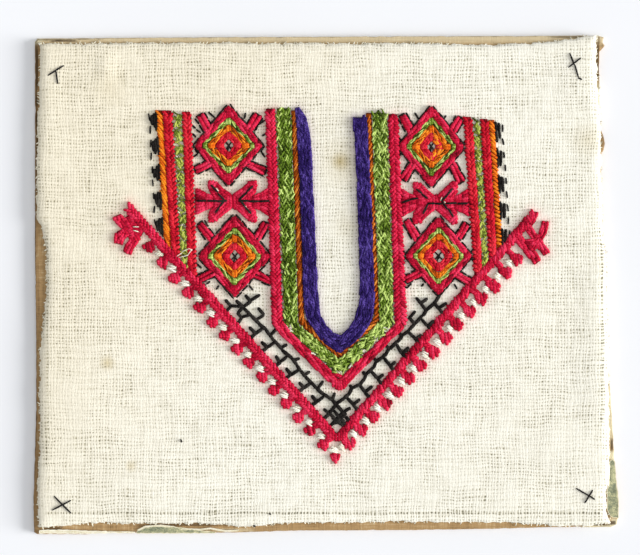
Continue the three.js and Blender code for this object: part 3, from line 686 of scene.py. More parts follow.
def shared(name, make):
    """A helper object or tree, made when it is first asked for."""
    if name not in SHARED:
        SHARED[name] = make()
    return SHARED[name]


# ---- Charts: where the stitches of a piece lie


HAND_WANDER = 0.14  # how far a hand-worked stitch strays from its place
# painted shade: the bed's wool is darkened as if it lay in the stitches' shade
BED_SHADE_TONE = -0.6  # the wool under the stitches lies in their shade
# Across a bed and up it, as shares
BED_PROFILE = [(0.0, -0.3), (0.02, 0.35), (0.22, 0.8), (0.5, 1.0), (0.78, 0.8), (0.98, 0.35), (1.0, -0.3)]
STATION_GAP = 0.05  # stations of a bed closer than this are one


class Chart:
    """The stitches of one piece, each straight from one point to another, and the beds of wool under them."""

    def __init__(self, seed):
        self.rows = []
        self.beds = []
        self.draw = random.Random(seed)

    def add(self, start, end, width, high, lift=0.0, shade=0.0):
        ends = (place + self.draw.uniform(-HAND_WANDER, HAND_WANDER) for place in (*start, *end))
        self.rows.append((*ends, width, high, lift, shade))

    def bed(self, strip, high, inset, step):
        self.beds.append((strip, high, inset, step))

    def wander(self, reach):
        """A small random step."""
        return Vector((self.draw.uniform(-reach, reach), self.draw.uniform(-reach, reach)))


class Strip:
    """The strip between two edges given point by point, read by distance along it and share across it."""

    def __init__(self, inner, outer, ring=False):
        if ring:
            inner, outer = [*inner, inner[0]], [*outer, outer[0]]
        self.inner = [Vector(p) for p in inner]
        self.outer = [Vector(p) for p in outer]
        self.ring = ring
        middle = [(a + b) / 2 for a, b in zip(self.inner, self.outer)]
        self.marks = [0.0]
        for a, b in zip(middle, middle[1:]):
            self.marks.append(self.marks[-1] + (b - a).length)
        self.length = self.marks[-1]

    def at(self, along, across):
        along = along % self.length if self.ring else min(max(along, 0.0), self.length)
        i = 0
        while i < len(self.marks) - 2 and self.marks[i + 1] < along:
            i += 1
        share = (along - self.marks[i]) / max(self.marks[i + 1] - self.marks[i], 1e-9)
        a = self.inner[i].lerp(self.inner[i + 1], share)
        b = self.outer[i].lerp(self.outer[i + 1], share)
        return a.lerp(b, across)


def steps(start, end, pitch):
    """Evenly spaced places from start to end, as near the pitch as they fit."""
    count = max(1, round((end - start) / pitch))
    return [start + (end - start) * i / count for i in range(count + 1)]


def around(path, width):
    """The strip of one width along a path, mitred at its corners."""
    points = [Vector(p) for p in path]
    inner, outer = [], []
    for i, p in enumerate(points):
        before = (p - points[i - 1]).normalized() if i else (points[1] - p).normalized()
        after = (points[i + 1] - p).normalized() if i < len(points) - 1 else before
        along = (before + after).normalized()
        half = width / 2 / max(along.dot(after), 0.4)
        side = Vector((-along.y, along.x)) * half
        inner.append(p + side)
        outer.append(p - side)
    return Strip(inner, outer)


def plait(chart, strip, pitch, reach, width, high=0.9, lift=0.2, start=0.0, end=None, low=0.0, top=1.0, shade=0.0):
    """Two facing rows of slanting stitches that meet along the middle."""
    middle = (low + top) / 2
    over = 0.08 * (top - low)
    end = strip.length if end is None else end
    for s in steps(start, end - reach, pitch):
        chart.add(strip.at(s, low), strip.at(s + reach, middle + over), width, high, lift, shade)
        t = s + pitch / 2
        chart.add(strip.at(t, top), strip.at(t + reach, middle - over), width, high, lift, shade)


def rope(
    chart, strip, pitch, reach, width, high=0.9, lift=0.1, start=0.0, end=None, low=0.15, top=0.85, tones=(0,)
):
    """Long slanting stitches, each starting beside the middle of the one before."""
    end = strip.length if end is None else end
    last = end if strip.ring else end - reach
    for i, s in enumerate(steps(start, last, pitch)):
        chart.add(strip.at(s, low), strip.at(s + reach, top), width, high, lift, tones[i % len(tones)])


STITCH_OVERLAP = 0.4  # how far the ends of stitches in one row run past each other


def lengthways(chart, strip, rows, reach, width, high=0.9, lift=0.15, start=0.0, end=None, tones=(0,)):
    """Rows of long stitches side by side along the strip."""
    end = strip.length if end is None else end
    for row in range(rows):
        across = (row + 0.5) / rows
        offset = -reach * ((row * 0.37) % 1.0)
        for i, s in enumerate(steps(start + offset, end + offset, reach)):
            a, b = max(s - STITCH_OVERLAP, start), min(s + reach + STITCH_OVERLAP, end)
            if b - a > 1.2:
                tone = tones[(row + i) % len(tones)]
                chart.add(strip.at(a, across), strip.at(b, across), width, high, lift + 0.05 * (i % 2), tone)


def crossed(chart, strip, pitch, reach, width, high, lift, tones):
    """Stitches that cross the strip from edge to edge, both ways."""
    for i, s in enumerate(steps(0.0, strip.length - reach, pitch)):
        tone = tones[i % len(tones)]
        chart.add(strip.at(s, 0.0), strip.at(s + reach, 1.0), width, high, lift, tone)
        t = s + pitch / 2
        chart.add(strip.at(t, 1.0), strip.at(t + reach, 0.0), width, high, lift + 0.15, -tone)


def scattered(chart, strip, count, reach, width, high, lift, tones, lean, margin=0.06):
    """Short stitches strewn over the strip, leaning one way or the other, as in dense herringbone."""
    draw = chart.draw
    for _ in range(count):
        along = draw.uniform(0, strip.length)
        across = draw.uniform(margin, 1 - margin)
        middle = strip.at(along, across)
        ahead = strip.at(along + 0.5, across) - strip.at(along - 0.5, across)
        if ahead.length < 1e-6:
            continue
        angle = draw.choice((-1, 1)) * draw.uniform(lean * 0.5, lean)
        half = Matrix.Rotation(angle, 2) @ ahead.normalized() * reach * draw.uniform(0.35, 0.6)
        chart.add(middle - half, middle + half, width, high, lift + draw.uniform(0, 0.25), draw.choice(tones))


def drawn_line(chart, path, reach, width, high, lift, shade=0.0, gap=0.0):
    """Stitches end to end along a path, none longer than the reach."""
    points = [Vector(p) for p in path]
    for a, b in zip(points, points[1:]):
        count = max(1, math.ceil((b - a).length / reach - 0.15))
        for i in range(count):
            start, end = a.lerp(b, i / count), a.lerp(b, (i + 1) / count)
            back = (end - start).normalized() * gap / 2
            chart.add(start + back, end - back, width, high, lift, shade)


def bed_mesh(name, beds):
    """The dense wool under the stitches, one low raised band for each strip, darkened as painted shade."""
    points, faces = [], []
    for strip, high, inset, step in beds:
        count = max(2, round(strip.length / step) + 1)
        stations = sorted({*(strip.length * i / (count - 1) for i in range(count)), *strip.marks})
        stations = [s for i, s in enumerate(stations) if i == 0 or s - stations[i - 1] > STATION_GAP]
        if strip.ring:
            stations.pop()
        faces += tube_faces(len(stations), len(BED_PROFILE), len(points), strip.ring)
        for s in stations:
            for across, up in BED_PROFILE:
                p = strip.at(s, inset + (1 - 2 * inset) * across)
                points.append((p.x, p.y, CLOTH_TOP + up * high))
    piece = mesh_piece(name, points, faces)
    recalculated(piece)
    piece.data.uv_layers.new(name="yarn")
    # painted shade: every point of the bed gets the same dark tone
    tone = piece.data.attributes.new("tone", "FLOAT", "POINT")
    tone.data.foreach_set("value", [BED_SHADE_TONE] * len(piece.data.vertices))
    return piece


def recalculated(piece):
    shape = bmesh.new()
    shape.from_mesh(piece.data)
    bmesh.ops.remove_doubles(shape, verts=shape.verts, dist=1e-6)
    bmesh.ops.recalc_face_normals(shape, faces=shape.faces)
    shape.to_mesh(piece.data)
    shape.free()


def handed_over(piece, nodes):
    """Hangs the piece on the root body and hides the model nodes it stands for."""
    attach(piece, "root")
    if nodes:
        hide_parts(*nodes)


def stitched(name, chart, wool, nodes=(), fuzz=1.0, spread=1.0, seed_step=0):
    """Turns a chart into a piece of laid yarn that stands for the given nodes."""
    settings = bpy.context.scene.sample_wool
    points, edges, spans, girths = [], [], [], []
    for x0, y0, x1, y1, width, high, lift, shade in chart.rows:
        z = CLOTH_TOP + lift
        edges.append((len(points), len(points) + 1))
        points += [(x0 * MM, y0 * MM, z * MM), (x1 * MM, y1 * MM, z * MM)]
        spans += [(x1 - x0) * MM, (y1 - y0) * MM, 0.0]
        girths += [width * MM, high * MM, shade]
    mesh = bpy.data.meshes.new(name)
    mesh.from_pydata(points, edges, [])
    mesh.attributes.new("span", "FLOAT_VECTOR", "EDGE").data.foreach_set("vector", spans)
    mesh.attributes.new("girth", "FLOAT_VECTOR", "EDGE").data.foreach_set("vector", girths)
    piece = bpy.data.objects.new(name, mesh)
    bpy.context.scene.collection.objects.link(piece)
    bed = bed_mesh(f"{name}_bed", chart.beds) if chart.beds else None
    tree = shared("tree", stitch_tree)
    inputs = {
        "Yarn": shared("yarn", unit_yarn),
        "Fibre": shared("fibre", unit_fibre),
        "Bed": bed,
        "Wool": materials(bpy.context.scene)[wool],
        "Length Spread": settings.length_spread * spread,
        "Turn Spread": settings.turn_spread * spread,
        "Tone Spread": settings.tone_spread,
        "Fuzz Density": settings.fuzz_density * fuzz,
        "Fuzz Length": settings.fuzz_length,
        "Seed": settings.seed + seed_step,
    }
    laid = piece.modifiers.new("stitches", "NODES")
    laid.node_group = tree
    for item in tree.interface.items_tree:
        if item.in_out == "INPUT" and item.name in inputs and inputs[item.name] is not None:
            laid[item.identifier] = inputs[item.name]
    settle(piece)
    if bed is not None:
        bpy.data.objects.remove(bed)
    handed_over(piece, nodes)
    return piece


def settle(piece):
    """Makes what the modifiers give the piece's own mesh, and takes the modifiers off."""
    view = bpy.context.evaluated_depsgraph_get()
    view.update()
    made = bpy.data.meshes.new_from_object(
        piece.evaluated_get(view), preserve_all_data_layers=True, depsgraph=view
    )
    made.name = piece.name
    piece.modifiers.clear()
    piece.data = made


# ---- The neck edging

# The inner and the outer edge of each line, from its left top round the tip to its right top
NECK = {
    "purple": (
        [
            (-9.2, 59.3), (-6.2, 55.0), (-5.0, 49.0), (-4.0, 26.5), (-2.6, -4.0), (-1.4, -11.5), (1.6, -15.4),
            (4.9, -17.1), (8.0, -14.6), (11.0, -8.5), (11.5, -1.0), (10.7, 26.5), (9.8, 48.0), (9.0, 55.8),
        ],
        [
            (-9.9, 59.0), (-9.7, 55.0), (-9.4, 49.0), (-8.2, 26.5), (-7.4, -6.0), (-6.3, -12.2), (-1.5, -18.5),
            (4.5, -22.8), (9.0, -19.9), (13.6, -15.4), (16.4, -9.5), (15.2, 26.5), (14.0, 48.0), (13.6, 56.0),
        ],
    ),
    "orange": (
        [(-9.5, 58.3), (-7.1, -11.1), (4.5, -22.7), (16.1, -11.1), (13.4, 57.4)],
        [(-11.6, 58.3), (-9.1, -12.9), (4.5, -24.8), (18.0, -12.3), (15.3, 57.4)],
    ),
    "green": (
        [(-11.6, 59.0), (-9.2, -13.1), (4.5, -24.8), (18.0, -12.4), (15.3, 57.4)],
        [(-16.6, 59.0), (-13.9, -13.4), (4.6, -30.7), (22.7, -13.4), (20.5, 57.4)],
    ),
    "crimson": (
        [(-16.9, 58.8), (-14.2, -13.5), (4.6, -31.3), (23.0, -13.6), (20.7, 57.0)],
        [(-20.2, 58.8), (-18.0, -13.5), (4.5, -35.5), (27.1, -13.0), (24.1, 57.0)],
    ),
}
NECK_ARM = 71.0  # how far a straight arm of the neck runs before its knee
NECK_TIP_X = 4.5


def neck_purple():
    chart = Chart(11)
    strip = Strip(*NECK["purple"])
    chart.bed(strip, high=0.95, inset=0.03, step=1.5)
    lengthways(
        chart, strip, rows=7, reach=4.2, width=1.0, high=0.95, lift=0.4, tones=(-0.2, 0.05, -0.35, 0.2, -0.1)
    )
    scattered(
        chart, strip, count=300, reach=2.6, width=0.7, high=0.8, lift=0.6, tones=(-0.4, -0.1, 0.0, 0.2),
        lean=0.4, margin=0.1
    )
    for dx in (-1.2, -0.4, 0.4, 1.2):
        chart.add((NECK_TIP_X + 0.1 + dx, -20.0), (NECK_TIP_X + dx * 0.6, -23.0 + abs(dx) * 0.5), 1.0, 0.9, 0.45)
    return chart


def neck_orange():
    chart = Chart(12)
    strip = Strip(*NECK["orange"])
    chart.bed(strip, high=0.5, inset=0.0, step=2.0)
    rope(
        chart, strip, pitch=1.9, reach=3.5, width=0.84, high=0.9, lift=0.15, tones=(-0.3, 0.5, -0.9, 0.1),
        low=0.08, top=0.9
    )
    return chart


# Bare places at the green band's outer edge, where its stitches part
GREEN_BARE = [
    (-12.3, -14.6), (-8.9, -19.2), (-5.1, -23.0), (-0.7, -27.0), (4.2, -29.6),
    (8.5, -27.3), (12.9, -22.5), (16.9, -18.4), (20.3, -15.0),
]
BARE_REACH = 1.25


def neck_green():
    chart = Chart(13)
    strip = Strip(*NECK["green"])
    chart.bed(strip, high=0.35, inset=0.04, step=2.0)
    scattered(
        chart, strip, count=430, reach=2.5, width=0.72, high=0.6, lift=0.05, tones=(-1.3, -0.9, -0.5, 0.0),
        lean=0.6
    )
    plait(chart, strip, pitch=2.0, reach=2.6, width=0.72, high=0.7, lift=0.3, low=0.0, top=0.5, shade=-0.2)
    plait(chart, strip, pitch=2.0, reach=2.6, width=0.72, high=0.7, lift=0.3, low=0.5, top=1.0, shade=-0.2)
    scattered(
        chart, strip, count=480, reach=2.3, width=0.66, high=0.7, lift=0.38,
        tones=(-1.3, -0.7, 0.0, 0.5, 1.1, 1.8), lean=0.6, margin=0.02
    )
    kept = []
    for row in chart.rows:
        middle = Vector(((row[0] + row[2]) / 2, (row[1] + row[3]) / 2))
        if min((middle - Vector(bare)).length for bare in GREEN_BARE) > BARE_REACH:
            lighter = 0.35 if middle.x > NECK_TIP_X else -0.1  # the right arm's wool is lighter, the left's a little darker
            kept.append((*row[:7], row[7] + lighter))
    chart.rows = kept
    return chart


def neck_crimson():
    chart = Chart(14)
    strip = Strip(*NECK["crimson"])
    chart.bed(strip, high=0.7, inset=0.04, step=2.0)
    far = strip.length - NECK_ARM
    plait(chart, strip, pitch=1.45, reach=2.7, width=1.25, high=1.05, lift=0.25, end=NECK_ARM + 2.5)
    plait(chart, strip, pitch=1.45, reach=2.7, width=1.25, high=1.05, lift=0.25, start=far - 2.0)
    lengthways(
        chart, strip, rows=4, reach=5.2, width=1.35, high=1.0, lift=0.25, start=NECK_ARM, end=far,
        tones=(-0.1, 0.3, -0.6)
    )
    for dx in (-1.9, -1.0, -0.2, 0.6, 1.4, 2.1):
        x, drop = NECK_TIP_X + dx, abs(dx)
        chart.add((x, -31.1 + drop * 0.4), (x, -35.5 + drop * 0.7), 1.4, 1.0, 0.4, 0.1)
    return chart


# ---- The side columns

LEAN_FROM_Y = 56.7  # a column's x is given at this y
BORDER_LEFT_END = (-66.9, 26.9)
BORDER_TIP = (3.6, -51.6)
BORDER_RIGHT_END = (69.7, 24.0)
BORDER_WIDTH = 3.2
# Side, kind, x, lean outwards going down, width, top
COLUMNS = [
    ("left", "crimson_inner", -46.3, 0.037, 3.0, 57.8),
    ("left", "green", -49.4, 0.048, 3.1, 58.0),
    ("left", "crimson_outer", -52.7, 0.06, 3.1, 58.2),
    ("left", "orange", -55.4, 0.06, 2.7, 58.3),
    ("right", "crimson_inner", 47.3, 0.065, 3.0, 56.1),
    ("right", "green", 50.2, 0.059, 2.7, 55.7),
    ("right", "crimson_outer", 52.85, 0.056, 2.8, 55.4),
    ("right", "orange", 55.25, 0.061, 2.4, 55.1),
]


def end_at_border(x, lean, side):
    """The y at which a leaning line meets the upper side of the lower border."""
    start = BORDER_LEFT_END if side == "left" else BORDER_RIGHT_END
    slope = (BORDER_TIP[1] - start[1]) / (BORDER_TIP[0] - start[0])
    clear = (BORDER_WIDTH / 2 - 0.4) * math.hypot(1, slope)
    level = start[1] + slope * (x + lean * LEAN_FROM_Y - start[0]) + clear
    return level / (1 + slope * lean)


def leaning_strip(side, x, lean, width, top):
    edges = []
    for edge in (x - width / 2, x + width / 2):
        bottom = end_at_border(edge, lean, side)
        edges.append([(edge + lean * (LEAN_FROM_Y - y), y) for y in (top, (top + bottom) / 2, bottom)])
    return Strip(*edges)


GREEN_KNOT_PITCH = 4.6  # the side green lines are knotted, with cloth between the knots


def side_column(kind, strip, seed):
    chart = Chart(seed)
    if kind.startswith("crimson"):
        chart.bed(strip, high=0.6, inset=0.1, step=3.0)
        plait(chart, strip, pitch=1.5, reach=2.6, width=1.25, high=1.0, lift=0.22)
    elif kind == "orange":
        chart.bed(strip, high=0.45, inset=0.1, step=3.0)
        rope(
            chart, strip, pitch=1.35, reach=2.9, width=0.95, high=0.9, lift=0.12, tones=(0.3, 0.8, -0.3, 0.5),
            low=0.05, top=0.95
        )
    else:
        crossed(
            chart, strip, pitch=2.0, reach=2.2, width=0.62, high=0.55, lift=0.05, tones=(-0.9, 0.1, 0.5, -0.4)
        )
        for s in steps(2.0, strip.length - 3.0, GREEN_KNOT_PITCH):
            knot = Strip(*([strip.at(s + t, across) for t in (0, 1.4, 2.8)] for across in (0.14, 0.86)))
            scattered(
                chart, knot, count=11, reach=2.0, width=0.68, high=0.65, lift=0.2,
                tones=(0.3, 0.8, 1.3, -0.6), lean=0.6
            )
    return chart


# Side, kind, x, lean outwards going down, top
EDGINGS = [
    ("left", "blocks", -57.35, 0.055, 58.4),
    ("left", "running", -59.0, 0.055, 57.4),
    ("right", "blocks", 57.05, 0.059, 54.7),
    ("right", "running", 58.65, 0.066, 53.6),
]
BLOCK_PITCH, BLOCK_LONG, RUN_PITCH, RUN_LONG = 8.85, 6.4, 4.42, 2.5
LAST_OVERRUN = 2.2  # how far an edging's last stitch may run past its end
# Rows of a block: how far aside, how much later it starts and how much earlier it ends
BLOCK_ROWS = {
    "left": [(-0.85, 1.5, 1.4), (0.0, 0.6, 0.5), (0.85, 0.2, -0.3)],
    "right": [(-0.55, 0.0, -0.5), (0.55, 0.8, 0.5)],
}


def black_edging(kind, side, x, lean, top, seed):
    chart = Chart(seed)
    bottom = end_at_border(x, lean, side) + 0.5
    y = top

    def place(offset, level):
        return (x + offset + lean * (LEAN_FROM_Y - level), level)

    while y - (BLOCK_LONG if kind == "blocks" else RUN_LONG) > bottom - LAST_OVERRUN:
        if kind == "blocks":
            for offset, late, early in BLOCK_ROWS[side]:
                middle = y - BLOCK_LONG / 2 + chart.draw.uniform(-0.5, 0.5)
                start, end = y - late + chart.draw.uniform(-0.2, 0.2), y - BLOCK_LONG + early
                chart.add(place(offset, start), place(offset, middle - 0.5), 1.1, 0.85, 0.1)
                chart.add(place(offset, middle + 0.5), place(offset, end), 1.1, 0.85, 0.1)
            y -= BLOCK_PITCH
        else:
            chart.add(place(0.0, y), place(0.1, y - RUN_LONG), 0.62, 0.6, 0.0)
            y -= RUN_PITCH
    return chart


# ---- The medallions

# Middle, then the half width and half height of each ring's outer edge and, last, of the core
MEDALLIONS = {
    "left_upper": (-32.4, 46.5, [(11.3, 13.5), (9.3, 9.9), (7.7, 7.6), (5.0, 5.2), (1.9, 2.5)]),
    "left_lower": (-30.4, 9.6, [(12.1, 13.8), (9.4, 10.2), (7.7, 7.9), (4.8, 5.2), (2.0, 2.5)]),
    "right_upper": (35.2, 46.1, [(11.0, 13.5), (8.8, 10.5), (7.2, 7.8), (4.3, 5.3), (1.7, 2.3)]),
    "right_lower": (37.6, 9.7, [(11.1, 13.1), (9.0, 10.0), (7.5, 8.2), (5.6, 6.1), (2.3, 2.6)]),
}
RINGS = ("crimson", "green", "orange", "crimson_heart")
CORNER_CUTS = (0.03, 0.12, 0.15, 0.25, 0.3)  # how much of a side is cut away at the corners of each outline
# Arms of each medallion: outer end, inner end and width
ARMS = {
    "left_upper": [
        ((-42.2, 56.8), (-39.2, 52.0), 3.0),
        ((-22.4, 56.8), (-25.4, 52.0), 3.0),
        ((-43.6, 38.2), (-38.6, 40.4), 2.4),
        ((-19.9, 37.6), (-25.8, 40.3), 2.4),
    ],
    "left_lower": [
        ((-42.0, 20.8), (-38.6, 15.8), 2.7),
        ((-19.6, 20.8), (-22.7, 15.9), 2.7),
        ((-42.6, 1.9), (-37.6, 4.1), 2.3),
        ((-18.0, 0.8), (-23.8, 3.9), 2.3),
    ],
    "right_upper": [
        ((25.2, 56.8), (28.2, 51.8), 2.9),
        ((45.0, 56.0), (42.4, 51.6), 2.6),
        ((25.8, 34.9), (29.2, 40.6), 2.5),
        ((45.5, 34.2), (42.0, 40.4), 2.5),
    ],
    "right_lower": [
        ((26.8, 21.6), (30.2, 16.0), 2.8),
        ((47.2, 20.6), (44.2, 15.8), 2.6),
        ((26.4, 1.5), (31.2, 4.0), 2.4),
        ((49.0, 0.2), (43.8, 3.6), 2.4),
    ],
}
# Thin black stitches beside the diamonds that the outlines don't give: links to the columns and ticks
LINKS = {
    "left_upper": [
        [(-44.7, 47.4), (-42.7, 43.8), (-44.2, 42.6)],
        [(-44.4, 50.7), (-43.2, 49.2)],
        [(-45.4, 57.0), (-44.9, 53.6), (-41.7, 50.6)],
        [(-39.2, 57.6), (-36.9, 55.8)],
        [(-26.7, 57.6), (-27.4, 55.3)],
        [(-19.7, 50.6), (-21.4, 49.6)],
        [(-22.0, 48.5), (-20.4, 46.4), (-21.6, 44.7), (-20.2, 42.6)],
        [(-20.3, 55.0), (-22.9, 53.2), (-23.2, 51.6)],
    ],
    "left_lower": [
        [(-44.9, 11.0), (-42.8, 9.4)],
        [(-44.4, 8.3), (-41.4, 5.6)],
        [(-42.4, 6.9), (-44.2, 5.5)],
        [(-18.4, 12.0), (-19.6, 9.6), (-18.4, 7.4)],
        [(-36.6, -1.6), (-35.6, 0.0)],
        [(-25.7, 0.0), (-24.3, -1.9)],
        [(-41.3, -0.9), (-38.6, 1.4)],
    ],
    "right_upper": [
        [(24.4, 49.2), (26.4, 46.4), (24.6, 43.2)],
        [(29.6, 57.4), (31.0, 55.3)],
        [(40.2, 56.6), (39.0, 54.6)],
        [(46.9, 48.6), (45.3, 46.2), (47.2, 43.6)],
    ],
    "right_lower": [
        [(25.4, 12.6), (26.7, 9.8), (25.2, 7.0)],
        [(49.2, 12.2), (48.2, 9.8), (49.8, 7.2)],
        [(31.7, -0.6), (32.8, 0.6)],
        [(42.6, 0.4), (43.9, -1.4)],
        [(25.2, 0.2), (27.0, -1.2), (28.8, 0.6)],
    ],
}
OUTLINE_WIDTH = 0.74
OUTLINE_REACH = 3.1


def diamond(x, y, half_width, half_height, cut=0.0):
    """A diamond's outline: its corners or, cut, two points for each."""
    quarters = ((1, 0), (0, 1), (-1, 0), (0, -1))
    corners = [Vector((x + half_width * right, y + half_height * up)) for right, up in quarters]
    if not cut:
        return corners
    points = []
    for i, corner in enumerate(corners):
        points += [corner.lerp(corners[i - 1], cut / 2), corner.lerp(corners[(i + 1) % 4], cut / 2)]
    return points


def ring_strip(medallion, ring):
    x, y, sizes = MEDALLIONS[medallion]
    at = RINGS.index(ring)
    outer = diamond(x, y, *sizes[at], CORNER_CUTS[at])
    inner = diamond(x, y, *sizes[at + 1], CORNER_CUTS[at + 1])
    return Strip(inner, outer, ring=True)


def sides_of(strip):
    """The corners and sides of a ring in turn, each as a strip of its own."""
    return [Strip(strip.inner[i : i + 2], strip.outer[i : i + 2]) for i in range(len(strip.inner) - 1)]


CORNER_LENGTH = 3.0
RING_TONES = {
    "green": (0.1, 1.5, -1.9, 0.6, -0.9),
    "orange": (0.0, 1.3, -1.5, 0.4, -0.7),
    "crimson_heart": (0.2, -0.3, 0.0),
}
HALF_ORANGE_HEART = ("right_upper", "orange")  # this ring's orange runs over the heart's right side


def mitred(chart, side, width, tone):
    """Stitches that close a ring's corner, from its inner edge to its outer one."""
    for share in (0.1, 0.5, 0.9):
        s = side.length * share
        chart.add(side.at(s, -0.05), side.at(s, 0.98), width, 0.95, 0.25, tone)


def crimson_diamond(medallion, seed):
    chart = Chart(seed)
    ring = ring_strip(medallion, "crimson")
    chart.bed(ring, high=0.6, inset=0.05, step=6.0)
    for side in sides_of(ring):
        if side.length < CORNER_LENGTH:
            mitred(chart, side, 1.3, -0.3)
        else:
            lengthways(
                chart, side, rows=3, reach=4.6, width=1.3, high=0.95, lift=0.2, tones=(-0.2, 0.15, -0.9)
            )
    for outer, inner, width in ARMS[medallion]:
        reach = Vector(inner) + (Vector(inner) - Vector(outer)).normalized() * 1.4
        arm = around([outer, reach], width)
        chart.bed(arm, high=0.45, inset=0.08, step=6.0)
        lengthways(chart, arm, rows=2, reach=9.0, width=width / 1.9, high=0.9, lift=0.15, tones=(0.2, -0.3))
    return chart


def coloured_ring(medallion, name, seed):
    chart = Chart(seed)
    ring = ring_strip(medallion, name)
    chart.bed(ring, high=0.45, inset=0.04, step=6.0)
    tones = RING_TONES[name]
    for side in sides_of(ring):
        if side.length < CORNER_LENGTH:
            mitred(chart, side, 0.9, tones[0])
        elif name == "crimson_heart":
            lengthways(chart, side, rows=3, reach=3.6, width=1.0, high=0.85, lift=0.15, tones=tones)
        else:
            lengthways(chart, side, rows=3, reach=3.1, width=0.7, high=0.85, lift=0.15, tones=tones)
            rope(
                chart, side, pitch=2.0, reach=3.2, width=0.55, high=0.8, lift=0.32, start=0.4,
                tones=tones[::-1], low=0.2, top=0.75
            )
    if (medallion, name) == HALF_ORANGE_HEART:
        heart = sides_of(ring_strip(medallion, "crimson_heart"))
        for side in (*heart[-2:], *heart[:2]):
            if side.length >= CORNER_LENGTH:
                lengthways(chart, side, rows=3, reach=2.6, width=1.0, high=0.7, lift=0.5, tones=tones)
            else:
                chart.add(side.at(0.5, 0.1), side.at(0.5, 0.95), 1.3, 0.7, 0.5, tones[0])
    return chart


def black_outlines():
    """Thin black stitches: round the diamonds and arms, the hearts' crosses and the branch motifs' lines."""
    chart = Chart(31)
    for medallion, (x, y, sizes) in MEDALLIONS.items():
        (half_width, half_height), (heart_x, heart_y) = sizes[0], sizes[-1]
        corners = diamond(x, y, half_width + 0.6, half_height + 0.75)
        for i in range(4):
            a, b = Vector(corners[i]), Vector(corners[(i + 1) % 4])
            drawn_line(
                chart, [a.lerp(b, 0.04), a.lerp(b, 0.97)], reach=OUTLINE_REACH, width=OUTLINE_WIDTH,
                high=0.55, lift=0.4, gap=0.1
            )
        for outer, inner, width in ARMS[medallion]:
            arm = around([outer, inner], width + 0.5)
            drawn_line(
                chart, [arm.at(0, 0), arm.at(arm.length, 0)], reach=4.0, width=OUTLINE_WIDTH, high=0.55,
                lift=0.12, gap=0.2
            )
            drawn_line(
                chart, [arm.at(0, 1), arm.at(arm.length, 1)], reach=4.0, width=OUTLINE_WIDTH, high=0.55,
                lift=0.12, gap=0.2
            )
            drawn_line(
                chart, [arm.at(-0.1, 0.1), arm.at(-0.1, 0.9)], reach=4.0, width=OUTLINE_WIDTH * 0.8, high=0.5,
                lift=0.08
            )
        for path in LINKS[medallion]:
            drawn_line(chart, path, reach=3.0, width=OUTLINE_WIDTH, high=0.55, lift=0.08, gap=0.15)
        for start, end in (((-1, -1), (1, 1)), ((-1, 1), (1, -1)), ((-0.3, -1.1), (0.2, 0.3))):
            a = (x + start[0] * heart_x * 0.8, y + start[1] * heart_y * 0.8)
            b = (x + end[0] * heart_x * 0.8, y + end[1] * heart_y * 0.8)
            chart.add(a, b, 0.6, 0.6, 0.1)
    for side, (x, y, _) in BRANCH_MOTIFS.items():
        for path in BRANCH_LINES[side]:
            drawn_line(
                chart, [(x + dx, y + dy) for dx, dy in path], reach=3.6, width=OUTLINE_WIDTH * 1.1, high=0.6,
                lift=1.05, gap=-0.2
            )
    return chart


# ---- The branching motifs between the medallions

# Middle and how far the side wedges reach
BRANCH_MOTIFS = {"left": (-31.1, 27.9, 11.6), "right": (36.5, 27.4, 10.6)}
# Black lines on each, as offsets from its middle
BRANCH_LINES = {
    "left": [
        [(-7.0, 5.3), (-2.6, 0.4), (-5.8, -4.0)],
        [(-12.0, 0.1), (-1.7, 0.0)],
        [(6.9, 5.3), (2.3, 0.5), (6.4, -4.2)],
        [(2.1, 0.1), (12.4, 0.0)],
    ],
    "right": [
        [(-11.0, 0.2), (-5.7, 1.6)],
        [(-4.3, -3.8), (-2.4, -0.3), (2.3, -0.3)],
        [(5.8, 4.6), (2.2, 0.5), (6.0, -4.6)],
        [(3.6, -0.3), (10.8, -0.3)],
        [(-6.4, 4.6), (-2.6, 1.4)],
    ],
}
# One arm, as offsets turned into all four quarters, a side wedge, and the stitches that close an arm's head
MOTIF_ARM = [(1.2, 0.3), (4.1, 2.4), (6.7, 5.0)]
MOTIF_ARM_WIDTH = 4.1
MOTIF_REACH = 11.6  # the reach that the offsets are given for
WEDGE_ROWS = 8
MOTIF_WEDGE = [(3.2, 1.5), (7.6, 1.6), (12.5, 5.0)]  # how far out, and half its height there
MOTIF_HEAD = [((5.1, 6.7), (7.9, 3.9)), ((6.1, 7.0), (8.2, 4.9)), ((7.0, 6.9), (8.0, 5.9))]


